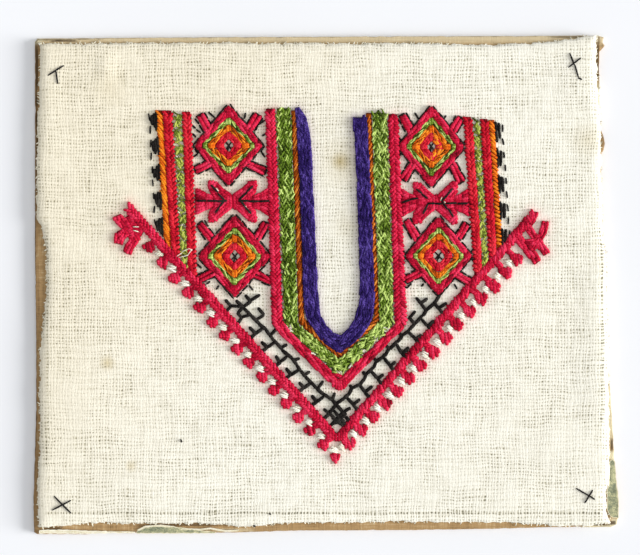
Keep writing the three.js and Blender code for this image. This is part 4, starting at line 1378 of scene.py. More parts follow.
def branch_motif(side, seed):
    chart = Chart(seed)
    x, y, reach = BRANCH_MOTIFS[side]
    squeeze = reach / MOTIF_REACH
    for sx in (-1, 1):
        for sy in (-1, 1):
            arm = around([(x + sx * dx * squeeze, y + sy * dy) for dx, dy in MOTIF_ARM], MOTIF_ARM_WIDTH)
            chart.bed(arm, high=0.6, inset=0.06, step=1.5)
            lengthways(
                chart, arm, rows=4, reach=4.6, width=1.5, high=0.95, lift=0.2, tones=(0.1, -0.3, 0.35, -0.1)
            )
            for start, end in MOTIF_HEAD:
                a, b = ((x + sx * dx * squeeze, y + sy * dy) for dx, dy in (start, end))
                chart.add(a, b, 1.5, 0.95, 0.25, chart.draw.choice((-0.2, 0.1, 0.3)))
        edges = [[(x + sx * dx * squeeze, y + way * half) for dx, half in MOTIF_WEDGE] for way in (1, -1)]
        wedge = Strip(*edges)
        chart.bed(wedge, high=0.5, inset=0.06, step=2.0)
        for row in range(WEDGE_ROWS):
            across = (row + 0.5) / WEDGE_ROWS
            for start, end in ((0.0, 3.6), (3.0, 6.4), (5.4, wedge.length)):
                tone = chart.draw.choice((-0.4, 0.0, 0.3))
                chart.add(wedge.at(start, across), wedge.at(end, across), 1.3, 0.95, 0.18, tone)
    chart.bed(around([(x, y - 2.2), (x, y + 2.2)], 4.6), high=0.6, inset=0.06, step=2.0)
    for offset in (-1.7, -0.6, 0.6, 1.7):
        tone = chart.draw.choice((-0.3, 0.1, 0.3))
        chart.add((x + offset, y - 2.7), (x + offset, y + 2.7), 1.45, 0.95, 0.25, tone)
    return chart


# ---- The lower border

# First and last knob, how many steps between them, and which side the line is on
KNOB_RUNS = [
    ((-59.0, 12.4), (-41.8, -7.7), 4, 1),
    ((-37.8, -12.3), (-1.0, -53.1), 9, 1),
    ((63.9, 8.4), (8.1, -53.1), 14, -1),
]
TIP_KNOB = (3.1, -57.5)
# Strokes of a knob from its middle: from, to and width. All lean the same way, as one hand laid them.
LEFT_KNOB = [
    ((-1.7, 1.0), (-1.2, -1.0), 1.4),
    ((-0.9, 1.8), (-0.3, -1.8), 1.5),
    ((0.1, 2.0), (0.6, -2.1), 1.5),
    ((1.1, 1.9), (1.4, -1.2), 1.4),
    ((0.3, 1.9), (4.2, 2.9), 1.5),
    ((0.8, 0.9), (4.2, 1.9), 1.4),
]
RIGHT_KNOB = [
    ((-2.4, 1.9), (-1.5, -0.6), 1.4),
    ((-1.6, 2.4), (-0.6, -1.7), 1.5),
    ((-0.6, 2.3), (0.4, -2.2), 1.5),
    ((0.5, 2.1), (1.3, -1.5), 1.4),
    ((1.3, 1.5), (1.8, -0.3), 1.2),
    ((-4.0, 3.3), (-1.2, 1.0), 1.5),
    ((-3.5, 4.0), (-0.8, 1.9), 1.4),
]
TIP_KNOB_STROKES = [
    ((-1.5, 1.4), (-0.5, -1.2), 1.2),
    ((-0.7, 1.9), (0.1, -2.1), 1.2),
    ((0.4, 1.6), (0.3, -2.1), 1.2),
    ((1.5, 1.5), (0.8, -1.3), 1.2),
]
# Slits of pale cotton beside the branch motifs' black lines
LIGHT_SLITS = [
    ((-36.75, 32.6), (-35.7, 31.2)),
    ((-34.9, 29.4), (-33.7, 28.0)),
    ((-28.0, 27.8), (-26.5, 25.9)),
    ((-26.3, 25.6), (-25.3, 23.9)),
    ((38.0, 28.1), (38.8, 29.3)),
    ((39.4, 28.1), (39.8, 27.2)),
    ((-64.3, 19.5), (-62.4, 19.3)),
    ((-64.1, 18.1), (-62.4, 17.9)),
]
# A short bare dash of cotton lies in the notch beside each knob
LEFT_DASH, RIGHT_DASH = ((1.8, -1.4), (5.0, -2.2)), ((-4.2, -0.3), (-1.7, -1.5))
# The motifs at the border's ends: path and width
END_STROKES = [
    ([(-69.75, 23.2), (-68.9, 21.3), (-66.9, 19.7), (-64.9, 17.7), (-63.1, 14.7)], 3.3),
    ([(-66.3, 23.0), (-64.3, 19.7)], 3.0),
    ([(-66.5, 20.0), (-60.9, 17.6)], 3.6),
    ([(-65.9, 18.3), (-68.6, 17.0), (-69.4, 13.7)], 3.0),
    ([(-63.6, 15.7), (-65.4, 13.0), (-66.3, 10.5)], 3.0),
    ([(69.9, 24.4), (69.2, 21.6), (67.8, 19.9)], 2.2),
    ([(63.4, 16.8), (67.0, 12.2), (70.9, 7.6)], 3.0),
    ([(66.9, 19.6), (70.0, 15.8), (73.7, 10.2)], 2.5),
    ([(66.7, 13.9), (70.3, 14.7)], 2.3),
    ([(73.4, 21.2), (72.7, 17.8), (70.8, 14.8), (68.6, 12.2)], 2.5),
]


def lower_border():
    chart = Chart(41)
    blunt = [Vector(end).lerp(Vector(BORDER_TIP), 0.99) for end in (BORDER_LEFT_END, BORDER_RIGHT_END)]
    left = around([BORDER_LEFT_END, blunt[0]], BORDER_WIDTH)
    right = around([BORDER_RIGHT_END, blunt[1]], BORDER_WIDTH)
    for start, end in zip((BORDER_LEFT_END, BORDER_RIGHT_END), blunt):
        chart.bed(around([Vector(start).lerp(end, 0.02), end], BORDER_WIDTH), high=0.6, inset=0.05, step=4.0)
    chart.bed(around([(0.6, -50.7), (6.6, -50.7)], 2.8), high=0.6, inset=0.05, step=2.0)
    plait(chart, left, pitch=1.55, reach=2.9, width=1.3, high=1.0, lift=0.25)
    for s in steps(0.0, right.length - 1.2, 1.12):
        tone = chart.draw.choice((-0.4, 0, 0.3))
        chart.add(right.at(s - 0.3, 1.0), right.at(s + 1.7, 0.0), 1.2, 0.95, 0.2, tone)
    rope(
        chart, right, pitch=2.3, reach=3.2, width=1.0, high=0.9, lift=0.35, end=right.length - 1.0,
        tones=(0.3, -0.3), low=0.85, top=0.15
    )
    for start, end, count, side in KNOB_RUNS:
        for i in range(count + 1):
            middle = Vector(start).lerp(Vector(end), i / count)
            knob_strokes(chart, middle + chart.wander(0.25), LEFT_KNOB if side > 0 else RIGHT_KNOB)
    knob_strokes(chart, Vector(TIP_KNOB), TIP_KNOB_STROKES)
    for x in (0.5, 1.4, 2.3, 3.2, 4.1, 5.0, 5.9, 6.7):
        aside = abs(x - BORDER_TIP[0])
        chart.add((x, -49.2 + aside * 0.15), (x + 0.2, -52.3 + aside * 0.2), 1.35, 0.95, 0.35, 0.1)
    for path, width in END_STROKES:
        strip = around(path, width)
        chart.bed(strip, high=0.5, inset=0.05, step=1.5)
        lengthways(
            chart, strip, rows=3, reach=3.6, width=width / 2.2, high=0.95, lift=0.15, tones=(0.3, -0.3, 0.0)
        )
    return chart


def knob_strokes(chart, middle, strokes):
    for start, end, width in strokes:
        wander = chart.wander(0.18)
        tone = chart.draw.choice((-0.45, -0.1, 0.1, 0.35))
        chart.add(middle + Vector(start) + wander, middle + Vector(end) + wander, width, 0.95, 0.1, tone)


# ---- The black branches

# Paths of the stitches, worked over counted threads
BRANCH_STEMS = [
    [
        (-29.8, -5.2), (-27.3, -7.6), (-25.0, -10.2), (-22.3, -12.9), (-20.1, -14.8), (-17.3, -18.5),
        (-14.5, -21.6), (-11.2, -24.7), (-8.4, -28.7), (-5.0, -32.4), (-1.0, -36.4), (2.2, -38.5),
        (3.4, -40.0), (5.3, -42.1), (8.1, -45.9),
    ],
    [
        (38.0, -3.4), (36.3, -6.2), (33.5, -8.3), (32.3, -10.2), (29.5, -12.9), (27.9, -15.1), (25.5, -17.0),
        (23.9, -18.8), (21.2, -21.3), (20.2, -23.0), (18.9, -24.1), (16.8, -25.6), (15.9, -27.7),
        (13.5, -29.6), (12.8, -31.2), (11.6, -33.1), (8.8, -34.5), (7.6, -36.7), (6.3, -37.6), (3.4, -39.8),
        (1.1, -42.8), (-0.9, -45.0),
    ],
]
# Outer twigs: how many, first root, last root, reach and tick, as offsets
LEFT_TWIGS = (6, (-21.3, -14.8), (-1.0, -37.3), (-4.0, -3.1), (-1.5, 1.8))
RIGHT_TWIGS = (8, (31.9, -11.3), (2.8, -42.0), (3.7, -4.6), (1.9, 1.6))
TICK_SHARE = 0.54  # how far out a twig's tick starts
SINGLE_BRANCHES = [
    [(-27.4, -7.0), (-31.6, -7.0), (-33.4, -9.0)],
    [(-33.5, -4.9), (-31.7, -6.9)],
    [(-27.4, -7.4), (-29.4, -9.2), (-27.9, -10.8), (-25.4, -10.0)],
    [(-27.9, -10.8), (-29.8, -13.4)],
    [(-27.1, -7.2), (-25.0, -5.2), (-22.3, -3.3)],
    [(-27.0, -3.5), (-25.1, -5.3)],
    [(-22.6, -11.4), (-20.9, -10.0), (-22.4, -7.7)],
    [(-18.0, -16.2), (-16.3, -14.3)],
    [(-17.9, -12.2), (-16.4, -14.3)],
    [(-14.4, -20.6), (-12.9, -19.8)],
    [(-10.3, -25.0), (-9.0, -24.6)],
    [(-6.5, -29.6), (-5.4, -28.9)],
    [(-2.2, -33.9), (-0.9, -32.4)],
    [(1.9, -38.4), (2.9, -36.3)],
    [(33.5, -8.3), (30.2, -4.2)],
    [(31.8, -5.9), (33.9, -4.7)],
    [(36.1, -5.6), (37.6, -7.7), (39.4, -9.8)],
    [(37.7, -7.8), (40.2, -6.1)],
    [(29.6, -13.1), (28.0, -10.9), (29.8, -8.8)],
    [(25.6, -17.4), (24.2, -15.6)],
    [(21.3, -21.3), (20.1, -20.3)],
    [(17.0, -25.7), (16.2, -24.5)],
    [(13.3, -30.0), (12.4, -29.0)],
    [(9.0, -34.6), (8.0, -33.6)],
    [(-0.7, -41.4), (1.1, -42.8), (3.2, -44.7), (4.9, -46.2), (5.9, -46.9)],
    [(7.9, -41.0), (5.6, -42.6), (3.7, -44.5), (1.8, -46.9)],
    [(3.4, -44.6), (3.5, -46.4)],
    [(2.0, -44.3), (3.6, -45.2), (5.1, -46.5)],
    [(1.9, -46.4), (3.6, -45.4), (5.2, -44.4)],
]


ROOT_REACH = 1.9  # a twig that starts this close to a stem grows from it


def black_branches():
    chart = Chart(51)
    for path in BRANCH_STEMS:
        drawn_line(chart, path, reach=4.0, width=1.4, high=0.95, lift=0.12, gap=-0.6)
    for count, first, last, reach, tick in (LEFT_TWIGS, RIGHT_TWIGS):
        for i in range(count):
            root = Vector(first).lerp(Vector(last), i / (count - 1))
            wander = chart.wander(0.3)
            end = root + Vector(reach) + wander
            middle = root.lerp(end, TICK_SHARE)
            drawn_line(
                chart, [root, middle + wander * 0.5, end], reach=3.0, width=1.35, high=0.9, lift=0.1, gap=-0.5
            )
            chart.add(middle, middle + Vector(tick) * chart.draw.uniform(1.0, 1.3), 1.35, 0.9, 0.14)
    for path in SINGLE_BRANCHES:
        if len(path) == 2:
            path = [rooted(Vector(path[0])), path[1]]
        drawn_line(chart, path, reach=3.4, width=1.3, high=0.9, lift=0.08, gap=-0.5)
    return chart


def rooted(start):
    """The nearest place on a stem, for a twig that starts close beside it."""
    near = []
    for path in BRANCH_STEMS:
        for a, b in zip(path, path[1:]):
            a, along = Vector(a), Vector(b) - Vector(a)
            share = min(max((start - a).dot(along) / along.length_squared, 0.0), 1.0)
            near.append(a + along * share)
    best = min(near, key=lambda p: (p - start).length)
    return best if (best - start).length < ROOT_REACH else start


# ---- The cloth, its fray and the loose thread on it

# Edges of the cloth: the sides as (y, x), the ends as (x, y)
CLOTH_LEFT = [
    (-81, -95.9), (-68.3, -96.3), (-55, -95.5), (-28.3, -95.5), (-15, -94.8), (-1.7, -93.2), (11.7, -93.6),
    (20, -94.9), (22.5, -96.5), (41.7, -96.6), (51.7, -96.2), (75, -95.4), (80.7, -95.4),
]
CLOTH_RIGHT = [
    (-79.5, 95.3), (-76.7, 93.7), (-68.8, 93.6), (-66.2, 94.6), (-28.3, 94.6), (-18.3, 94.2), (-8.3, 93.8),
    (10, 93.7), (15, 92.6), (28.3, 92.2), (45, 92), (59, 91.7), (66.7, 90.6), (83.2, 90.3),
]
CLOTH_BOTTOM = [
    (-95.9, -81), (-88.6, -80.3), (-75.2, -79.5), (-35.2, -79.8), (-28.2, -80.8), (-21.2, -80.1),
    (-8.6, -79.4), (24.8, -79), (60.4, -79.2), (78.1, -80.6), (88.4, -80.6), (95.3, -79.5),
]
CLOTH_END = [(-95.4, 80.7), (-41.9, 80.8), (31.4, 80.7), (54.8, 80.1), (71.4, 80.8), (84, 82.6), (90.3, 83.2)]
# Low rises in the bare margins: x, y, reach along x and y, height
CLOTH_RELIEF = [
    (-73.6, 73, 3, 5, 0.45),
    (-94, 62, 6, 16, 0.25),
    (-80, -20, 16, 24, 0.22),
    (-60, -66, 26, 7, 0.2),
    (-10, -77.5, 40, 3.5, 0.28),
    (52, -72, 20, 9, 0.22),
    (90, -20, 6, 30, 0.35),
    (78, -55, 11, 10, 0.2),
    (86, 66, 8, 9, 0.3),
    (20, 76, 34, 5, 0.22),
    (-30, 72, 18, 6, 0.18),
]
CLOTH_CELL = 1.05
CLOTH_GRID = (round(188 / CLOTH_CELL), round(162 / CLOTH_CELL))
RIM_REACH = 3.0  # how far in from its raw edges the cloth sinks to the card
RIM_DROP = 0.55


def read_table(rows, place):
    """The value of a table of (place, value) rows at a place between its rows."""
    if place <= rows[0][0]:
        return rows[0][1]
    for (a, va), (b, vb) in zip(rows, rows[1:]):
        if place <= b:
            return va + (vb - va) * (place - a) / (b - a)
    return rows[-1][1]


def cloth_point(u, v):
    """A point of the cloth from its two shares, blended from its four edges."""

    def part(edge, share):
        return edge[0][0] + (edge[-1][0] - edge[0][0]) * share

    ly, ry, bx, tx = part(CLOTH_LEFT, v), part(CLOTH_RIGHT, v), part(CLOTH_BOTTOM, u), part(CLOTH_END, u)
    left, right = Vector((read_table(CLOTH_LEFT, ly), ly)), Vector((read_table(CLOTH_RIGHT, ry), ry))
    bottom, top = Vector((bx, read_table(CLOTH_BOTTOM, bx))), Vector((tx, read_table(CLOTH_END, tx)))
    low = Vector(CLOTH_BOTTOM[0]).lerp(Vector(CLOTH_BOTTOM[-1]), u)
    high = Vector(CLOTH_END[0]).lerp(Vector(CLOTH_END[-1]), u)
    return left.lerp(right, u) + bottom.lerp(top, v) - low.lerp(high, v)


def cloth_rise(x, y):
    """How far the cloth stands above its level: its rises, and the slight waves of a handled cloth."""
    return bulges(CLOTH_RELIEF, x, y) + ripple(x, y, 0.055, 3.1) * 0.14 + ripple(x, y, 0.23, 8.7) * 0.05


def ground_cloth(finish):
    """One closed sheet on a fine grid, its raw edges jagged thread by thread."""
    nx, ny = CLOTH_GRID
    points, faces = [], []
    for j in range(ny + 1):
        for i in range(nx + 1):
            p = cloth_point(i / nx, j / ny)
            off = min(i, nx - i, 2) * 0.5, min(j, ny - j, 2) * 0.5
            jag = ripple(p.x, p.y, 0.9, 1.7) * 0.55 + ripple(p.x, p.y, 0.3, 5.2) * 0.5
            p.x += jag * (1 - off[0]) * (1 if i else -1)
            p.y += jag * (1 - off[1]) * (1 if j else -1)
            inside = min(min(i, nx - i, j, ny - j) * CLOTH_CELL / RIM_REACH, 1.0)
            rise = cloth_rise(p.x, p.y) * inside - RIM_DROP * (1 - inside) ** 2
            points.append((p.x, p.y, CLOTH_TOP + rise))
    row = nx + 1
    for j in range(ny):
        for i in range(nx):
            a = j * row + i
            faces.append((a, a + 1, a + row + 1, a + row))
    rim = [*range(nx), *(j * row + nx for j in range(ny)), *(ny * row + i for i in range(nx, 0, -1))]
    rim += [j * row for j in range(ny, 0, -1)]
    first = len(points)
    points += [(points[i][0], points[i][1], CLOTH_UNDER) for i in rim]
    count = len(rim)
    for k in range(count):
        after = (k + 1) % count
        faces.append((rim[k], first + k, first + after, rim[after]))
    faces.append(tuple(range(first + count - 1, first - 1, -1)))
    piece = mesh_piece("ground_cloth_sheet", points, faces)
    piece.data.materials.append(finish)
    return piece


DYE_REACH = 1.0  # distance over which the dye fades
DYE_END = 9.0
PLACE_STEP = 0.8
LAVENDER, ROSE = linear(214, 196, 232), linear(250, 176, 186)


def dyed(piece, wool_points):
    """Colours the cloth faintly beside the wool whose dye has run."""
    trees = []
    for places, tint, strength in wool_points:
        tree = kdtree.KDTree(len(places))
        for i, (x, y) in enumerate(places):
            tree.insert((x, y, 0.0), i)
        tree.balance()
        trees.append((tree, tint, strength))
    layer = piece.data.color_attributes.new("dye", "FLOAT_COLOR", "POINT")
    values = []
    for vertex in piece.data.vertices:
        x, y = vertex.co.x / MM, vertex.co.y / MM
        best, colour = 0.0, ROSE
        for tree, tint, strength in trees:
            away = tree.find((x, y, 0.0))[2]
            share = strength * math.exp(-away / DYE_REACH) if away < DYE_END else 0.0
            if share > best:
                best, colour = share, tint
        values += [*colour, min(best * (1 + ripple(x, y, 0.5, 2.0) * 0.6), 1.0)]
    layer.data.foreach_set("color", values)


def wool_places(charts):
    """Points close together along the stitches of some charts."""
    places = []
    for chart in charts:
        for x0, y0, x1, y1, *_ in chart.rows:
            count = max(2, round(math.hypot(x1 - x0, y1 - y0) / PLACE_STEP))
            places += [(x0 + (x1 - x0) * i / count, y0 + (y1 - y0) * i / count) for i in range(count + 1)]
    return places


FRAY_STEP = 1 / 150  # loose ends stand this far apart, as a share of the edge
# The way out of each raw edge, and the edge's share across the cloth
FRAY_EDGES = [((-1, 0), 0), ((1, 0), 1), ((0, -1), 0), ((0, 1), 1)]
LOOSE_THREAD = [(-49.6, 9.5), (-47.9, 10.9), (-45.8, 12.2), (-44.6, 11.6), (-46.0, 10.3), (-49.0, 8.8)]


def cloth_fray():
    """Loose thread ends along the raw edges, the loop of cotton on the left column and the notches' dashes."""
    chart = Chart(61)
    draw = chart.draw
    reach = bpy.context.scene.sample_cloth.fray_length / MM
    for way, at in FRAY_EDGES:
        out = Vector(way)
        for s in steps(0.004, 0.996, FRAY_STEP):
            share = s + draw.uniform(-0.002, 0.002)
            root = cloth_point(at, share) if out.x else cloth_point(share, at)
            lean = Vector((-out.y, out.x)) * draw.uniform(-2.2, 2.2)
            length = reach * draw.uniform(0.3, 0.8) * (1.0 if draw.random() < 0.93 else 1.8)
            start = root - out * 0.9
            chart.add(start, start + (out + lean * 0.5) * (length + 0.9), 0.4, 0.4, -0.95, draw.uniform(-0.4, 0.3))
    drawn_line(chart, LOOSE_THREAD, reach=3.0, width=0.27, high=0.3, lift=1.15, shade=0.3, gap=-0.3)
    for start, end, count, side in KNOB_RUNS:
        dash = LEFT_DASH if side > 0 else RIGHT_DASH
        for i in range(count + 1):
            middle = Vector(start).lerp(Vector(end), i / count)
            for aside, back in ((0.0, 0.0), (0.65, 0.2), (-0.6, 0.7)):
                near = middle + Vector(dash[0]) + Vector((back, -aside))
                chart.add(near, middle + Vector(dash[1]) + Vector((0.0, -aside)), 0.75, 0.5, 0.45, 0.8)
    for side, kind, *place in COLUMNS:
        if kind == "green":
            scattered(
                chart, leaning_strip(side, *place), count=44, reach=1.2, width=0.5, high=0.4, lift=0.2,
                tones=(-1.4, -0.9, -0.4), lean=0.9
            )
    for x, y in GREEN_BARE:
        for _ in range(12):
            start = Vector((x + draw.uniform(-1.5, 0.6), y + draw.uniform(-1.0, 1.0)))
            turn = draw.choice((-0.7, 0.7)) + draw.uniform(-0.3, 0.3)
            end = start + Vector((math.cos(turn), math.sin(turn))) * 1.4
            chart.add(start, end, 0.55, 0.4, 0.42, draw.uniform(-0.3, 0.6))
    for start, end in LIGHT_SLITS:
        chart.add(start, end, 0.4, 0.4, 1.0, 0.4)
    return chart


# ---- The corner tacks

TACKS = {
    "tack_top_left": [[(-92.7, 69.9), (-87.3, 73.1)], [(-90.1, 71.3), (-89.4, 67.3)]],
    "tack_top_right": [[(81.5, 77.3), (83.0, 73.5), (84.4, 69.2), (85.6, 68.5)], [(81.1, 72.6), (85.1, 75.8)]],
    "tack_bottom_left": [[(-90.6, -70.5), (-84.9, -76.3)], [(-91.5, -75.3), (-85.0, -71.9)]],
    "tack_bottom_right": [[(83.7, -67.9), (88.0, -70.5), (89.8, -71.5)], [(86.6, -72.6), (89.2, -68.6)]],
}
# Specks of black thread on the cloth
FLECKS = [[(-48.3, -51.6), (-47.9, -52.6)], [(-19.0, -76.4), (-18.2, -76.5)], [(-24.0, -80.2), (-23.4, -80.6)]]


def tack_chart(paths):
    chart = Chart(71)
    for path in paths:
        drawn_line(chart, path, reach=9.0, width=0.58, high=0.5, lift=0.1, gap=-0.25)
    return chart


# ---- The card and what is left of its facing paper

CARD_OUTLINE = [
    (-98.1, -71), (-97.9, -82.9), (-96.6, -83.6), (-80.6, -83.7), (-75.2, -83.2), (-31.9, -83.1),
    (-8.6, -82.4), (24.8, -82.3), (58.1, -81.8), (74.8, -81.3), (95.4, -81.2), (97.6, -80.2),
    (98.1, -78.3), (98.1, -71.7), (97.1, -61.7), (96.1, -45), (95.4, -35), (94.1, -21.7),
    (93.1, -5), (92.4, 11.7), (92.2, 43.5), (93.2, 45.2), (93.7, 47.6), (93.2, 50.2), (92.1, 52.6), (91.8, 56.5),
    (91.8, 78.2), (93.6, 80.2), (92.9, 81.4), (93.3, 83.1), (91.2, 83.7), (51.4, 83.5), (-1.9, 83.3),
    (-58.6, 83), (-96.8, 82.7), (-97.6, 81.5), (-97.6, 11.7), (-97.2, -15), (-97.2, -41.7),
    (-97.8, -61.7),
]
# Height, how far drawn in, which ply wanders, and how dark the place is painted, as shade in the crevice between
# the plies
CARD_LEVELS = [
    (0.0, 0.35, 0, 0.0),
    (0.25, 0.05, 0, 0.0),
    (1.05, 0.0, 0, 0.0),
    (1.2, 0.25, 0, 0.2),
    (1.22, 1.0, 0, 1.0),
    (1.42, 1.0, 1, 1.0),
    (1.6, 0.35, 1, 0.3),
    (2.2, 0.25, 1, 0.0),
    (2.4, 0.45, 1, 0.0),
]
CARD_STEP = 1.1
# Where the upper ply has drawn back from the lower one: x, y, reach along x and y, how far
PLY_BACK = [
    (-97.6, 52, 4, 26, 0.9),
    (-90, 83, 14, 3, 0.5),
    (97.4, -63, 3, 5, 1.0),
    (-97.5, -50, 4, 20, 0.3),
]


def fine_outline():
    """The card's outline with a point about every millimetre."""
    points = []
    count = len(CARD_OUTLINE)
    for i in range(count):
        a, b = Vector(CARD_OUTLINE[i]), Vector(CARD_OUTLINE[(i + 1) % count])
        parts = max(1, round((b - a).length / CARD_STEP))
        points += [a.lerp(b, k / parts) for k in range(parts)]
    return points


def backing_card(finish, reach):
    """The board as a stack of its wandering outline, with its two plies parted at the edge."""
    outline = fine_outline()
    count = len(outline)
    points, shades = [], []
    for level, (z, inset, ply, shade) in enumerate(CARD_LEVELS):
        for i, p in enumerate(outline):
            along = (outline[(i + 1) % count] - outline[i - 1]).normalized()
            inward = Vector((-along.y, along.x))
            wander = ripple(p.x, p.y, 0.35, 4.0 * ply) * reach / MM
            wander += ripple(p.x, p.y, 1.3, 4.0 * ply + level) * reach / MM * 0.35
            drawn = inset + max(wander, -inset if ply == 0 else -0.15)
            if ply:
                drawn += bulges(PLY_BACK, p.x, p.y)
            q = p + inward * drawn
            points.append((q.x, q.y, z))
            shades.append(shade)
    piece = mesh_piece("backing_card_board", points, tube_faces(len(CARD_LEVELS), count), smooth=False)
    # painted shade: the crevice between the plies is darkened in the board's finish
    parted = piece.data.attributes.new("parted", "FLOAT", "POINT")
    parted.data.foreach_set("value", shades)
    piece.data.materials.append(finish)
    return piece


# The core of the paper that has lifted over the bottom scrap, then each node's kind of paper and outline
LIFTED_CORE = [
    (-62.9, -82.1), (-60.3, -80.8), (-55.2, -80.4), (-51.2, -80.9), (-48.6, -81.6), (-41.9, -81.8),
    (-38.6, -81.4), (-36.9, -81.7), (-33.6, -82.3), (-29.2, -82.1),
]
PAPERS = {
    "facing_scrap_bottom": ("facing_paper", [
        (-63.2, -82.4), (-60.4, -80.9), (-55.2, -80.5), (-48.6, -81.0), (-41.9, -82.0), (-36.9, -82.6),
        (-36.9, -83.0), (-63.2, -83.1),
    ]),
    "facing_scrap_corner": ("facing_paper", [
        (94.9, -58.8), (94.7, -62.8), (94.6, -66.6), (93.9, -69.0), (94.1, -71.8), (94.0, -75.0), (95.2, -77.6),
        (97.9, -78.0), (98.0, -72.0), (97.2, -65.0), (96.7, -59.0), (96.0, -58.2),
    ]),
    "torn_edge_bottom": ("torn_paper", [
        (-95.8, -82.0), (-88.6, -81.8), (-78.6, -82.2), (-63.8, -82.5), (-63.8, -82.9), (-80.6, -83.2),
        (-95.8, -83.1),
    ]),
}
PAPER_THICK, PAPER_SEAT = 0.35, 0.06
PAPER_CURL = 0.12  # how far the paper lifts from the board
PAPER_STEP = 0.7
RIM_WIDTH, CORE_RIM = 0.45, 0.12  # how wide the torn rim is, on a scrap and on the lifted core
CORE_WIDTH = 0.55


def outward_loop(outline):
    """A closed outline, counter-clockwise, as points close together."""
    points = [Vector(p) for p in outline]
    turning = sum(a.x * b.y - b.x * a.y for a, b in zip(points, points[1:] + points[:1]))
    if turning < 0:
        points.reverse()
    loop = []
    for a, b in zip(points, points[1:] + points[:1]):
        parts = max(1, round((b - a).length / PAPER_STEP))
        loop += [a.lerp(b, k / parts) for k in range(parts)]
    return loop


def paper_scrap(name, outlines, finish):
    """Torn remnants of paper: each edge wanders and lifts a little from the board."""
    points, faces, rims = [], [], []
    base = CARD_TOP + PAPER_SEAT
    for outline, rim in outlines:
        loop = outward_loop(outline)
        count = len(loop)
        faces += tube_faces(3, count, len(points))
        for inset, up, share in ((0.0, 0.0, 1.0), (0.0, PAPER_THICK, 1.0), (rim, PAPER_THICK, 0.0)):
            for i, p in enumerate(loop):
                along = (loop[(i + 1) % count] - loop[i - 1]).normalized()
                torn = ripple(p.x, p.y, 0.9, 6.0 + inset) * rim * 0.5
                q = p + Vector((-along.y, along.x)) * (inset + torn)
                lift = PAPER_CURL * (1 + ripple(p.x, p.y, 0.4, 2.5))
                points.append((q.x, q.y, base + lift + up))
                rims.append(share)
    piece = mesh_piece(f"{name}_paper", points, faces, smooth=False)
    piece.data.attributes.new("rim", "FLOAT", "POINT").data.foreach_set("value", rims)
    piece.data.materials.append(finish)
    return piece


# ---- Operators

FLOOR_REACH = 1500


class SAMPLE_OT_card(bpy.types.Operator):
    """Build the worn backing card with its two parted plies"""

    bl_idname = "sample.card"
    bl_label = "Backing Card"

    def execute(self, context):
        piece = backing_card(materials(context.scene)["board"], context.scene.sample_card.roughness_reach)
        handed_over(piece, ["backing_card"])
        return {"FINISHED"}


class SAMPLE_OT_papers(bpy.types.Operator):
    """Build what is left of the card's facing paper"""

    bl_idname = "sample.papers"
    bl_label = "Facing Paper"

    def execute(self, context):
        core = around(LIFTED_CORE, CORE_WIDTH)
        ribbon = [tuple(p) for p in (*core.inner, *reversed(core.outer))]
        for name, (kind, outline) in PAPERS.items():
            outlines = [(outline, RIM_WIDTH)]
            if kind == "torn_paper":
                outlines.append((ribbon, CORE_RIM))
            handed_over(paper_scrap(name, outlines, materials(context.scene)[kind]), [name])
        return {"FINISHED"}


class SAMPLE_OT_cloth(bpy.types.Operator):
    """Build the ground cloth, its frayed edges and the loose thread on it"""

    bl_idname = "sample.cloth"
    bl_label = "Ground Cloth"

    def execute(self, context):
        piece = ground_cloth(materials(context.scene)["cotton"])
        crimson = [neck_crimson(), lower_border(), branch_motif("left", 1), branch_motif("right", 2)]
        crimson += [crimson_diamond(name, 3) for name in MEDALLIONS]
        dyed(piece, [(wool_places(crimson), ROSE, 0.6), (wool_places([neck_purple()]), LAVENDER, 0.7)])
        handed_over(piece, ["ground_cloth"])
        fray = stitched("cloth_fray", cloth_fray(), "cotton_thread", fuzz=0.0, spread=2.0)
        return {"FINISHED"}


class SAMPLE_OT_tacks(bpy.types.Operator):
    """Sew the cloth's corners to the card with black thread"""

    bl_idname = "sample.tacks"
    bl_label = "Corner Tacks"

    def execute(self, context):
        for name, paths in TACKS.items():
            stitched(f"{name}_thread", tack_chart(paths), "black_thread", [name], fuzz=0.2, spread=0.2)
        stitched("thread_flecks", tack_chart(FLECKS), "black_thread", fuzz=0.2)
        return {"FINISHED"}


class SAMPLE_OT_neck(bpy.types.Operator):
    """Stitch the four lines of the neck edging"""

    bl_idname = "sample.neck"
    bl_label = "Neck Edging"

    def execute(self, context):
        stitched("purple_neck_stitches", neck_purple(), "purple_wool", ["neck_purple_edging"], 1.6)
        stitched("orange_neck_stitches", neck_orange(), "amber_wool", ["neck_orange_line"], 0.6)
        stitched("green_neck_stitches", neck_green(), "green_wool", ["neck_green_band"], 0.5)
        stitched("crimson_neck_stitches", neck_crimson(), "crimson_wool", ["neck_crimson_line"])
        return {"FINISHED"}


class SAMPLE_OT_columns(bpy.types.Operator):
    """Stitch the side columns and the black edgings outside them"""

    bl_idname = "sample.columns"
    bl_label = "Side Columns"

    def execute(self, context):
        wools = {"orange": "orange_wool", "green": "olive_wool"}
        for i, (side, kind, *place) in enumerate(COLUMNS):
            chart = side_column(kind, leaning_strip(side, *place), 80 + i)
            name, wool = f"{side}_{kind}_stitches", wools.get(kind, "red_wool")
            stitched(name, chart, wool, [f"{side}_column_{kind}"], 0.7, seed_step=i)
        for i, (side, kind, x, lean, top) in enumerate(EDGINGS):
            chart = black_edging(kind, side, x, lean, top, 90 + i)
            name = f"{side}_{kind}_stitches"
            stitched(name, chart, "black_wool", [f"{side}_black_{kind}"], 0.8, 1.5, seed_step=20 + i)
        return {"FINISHED"}


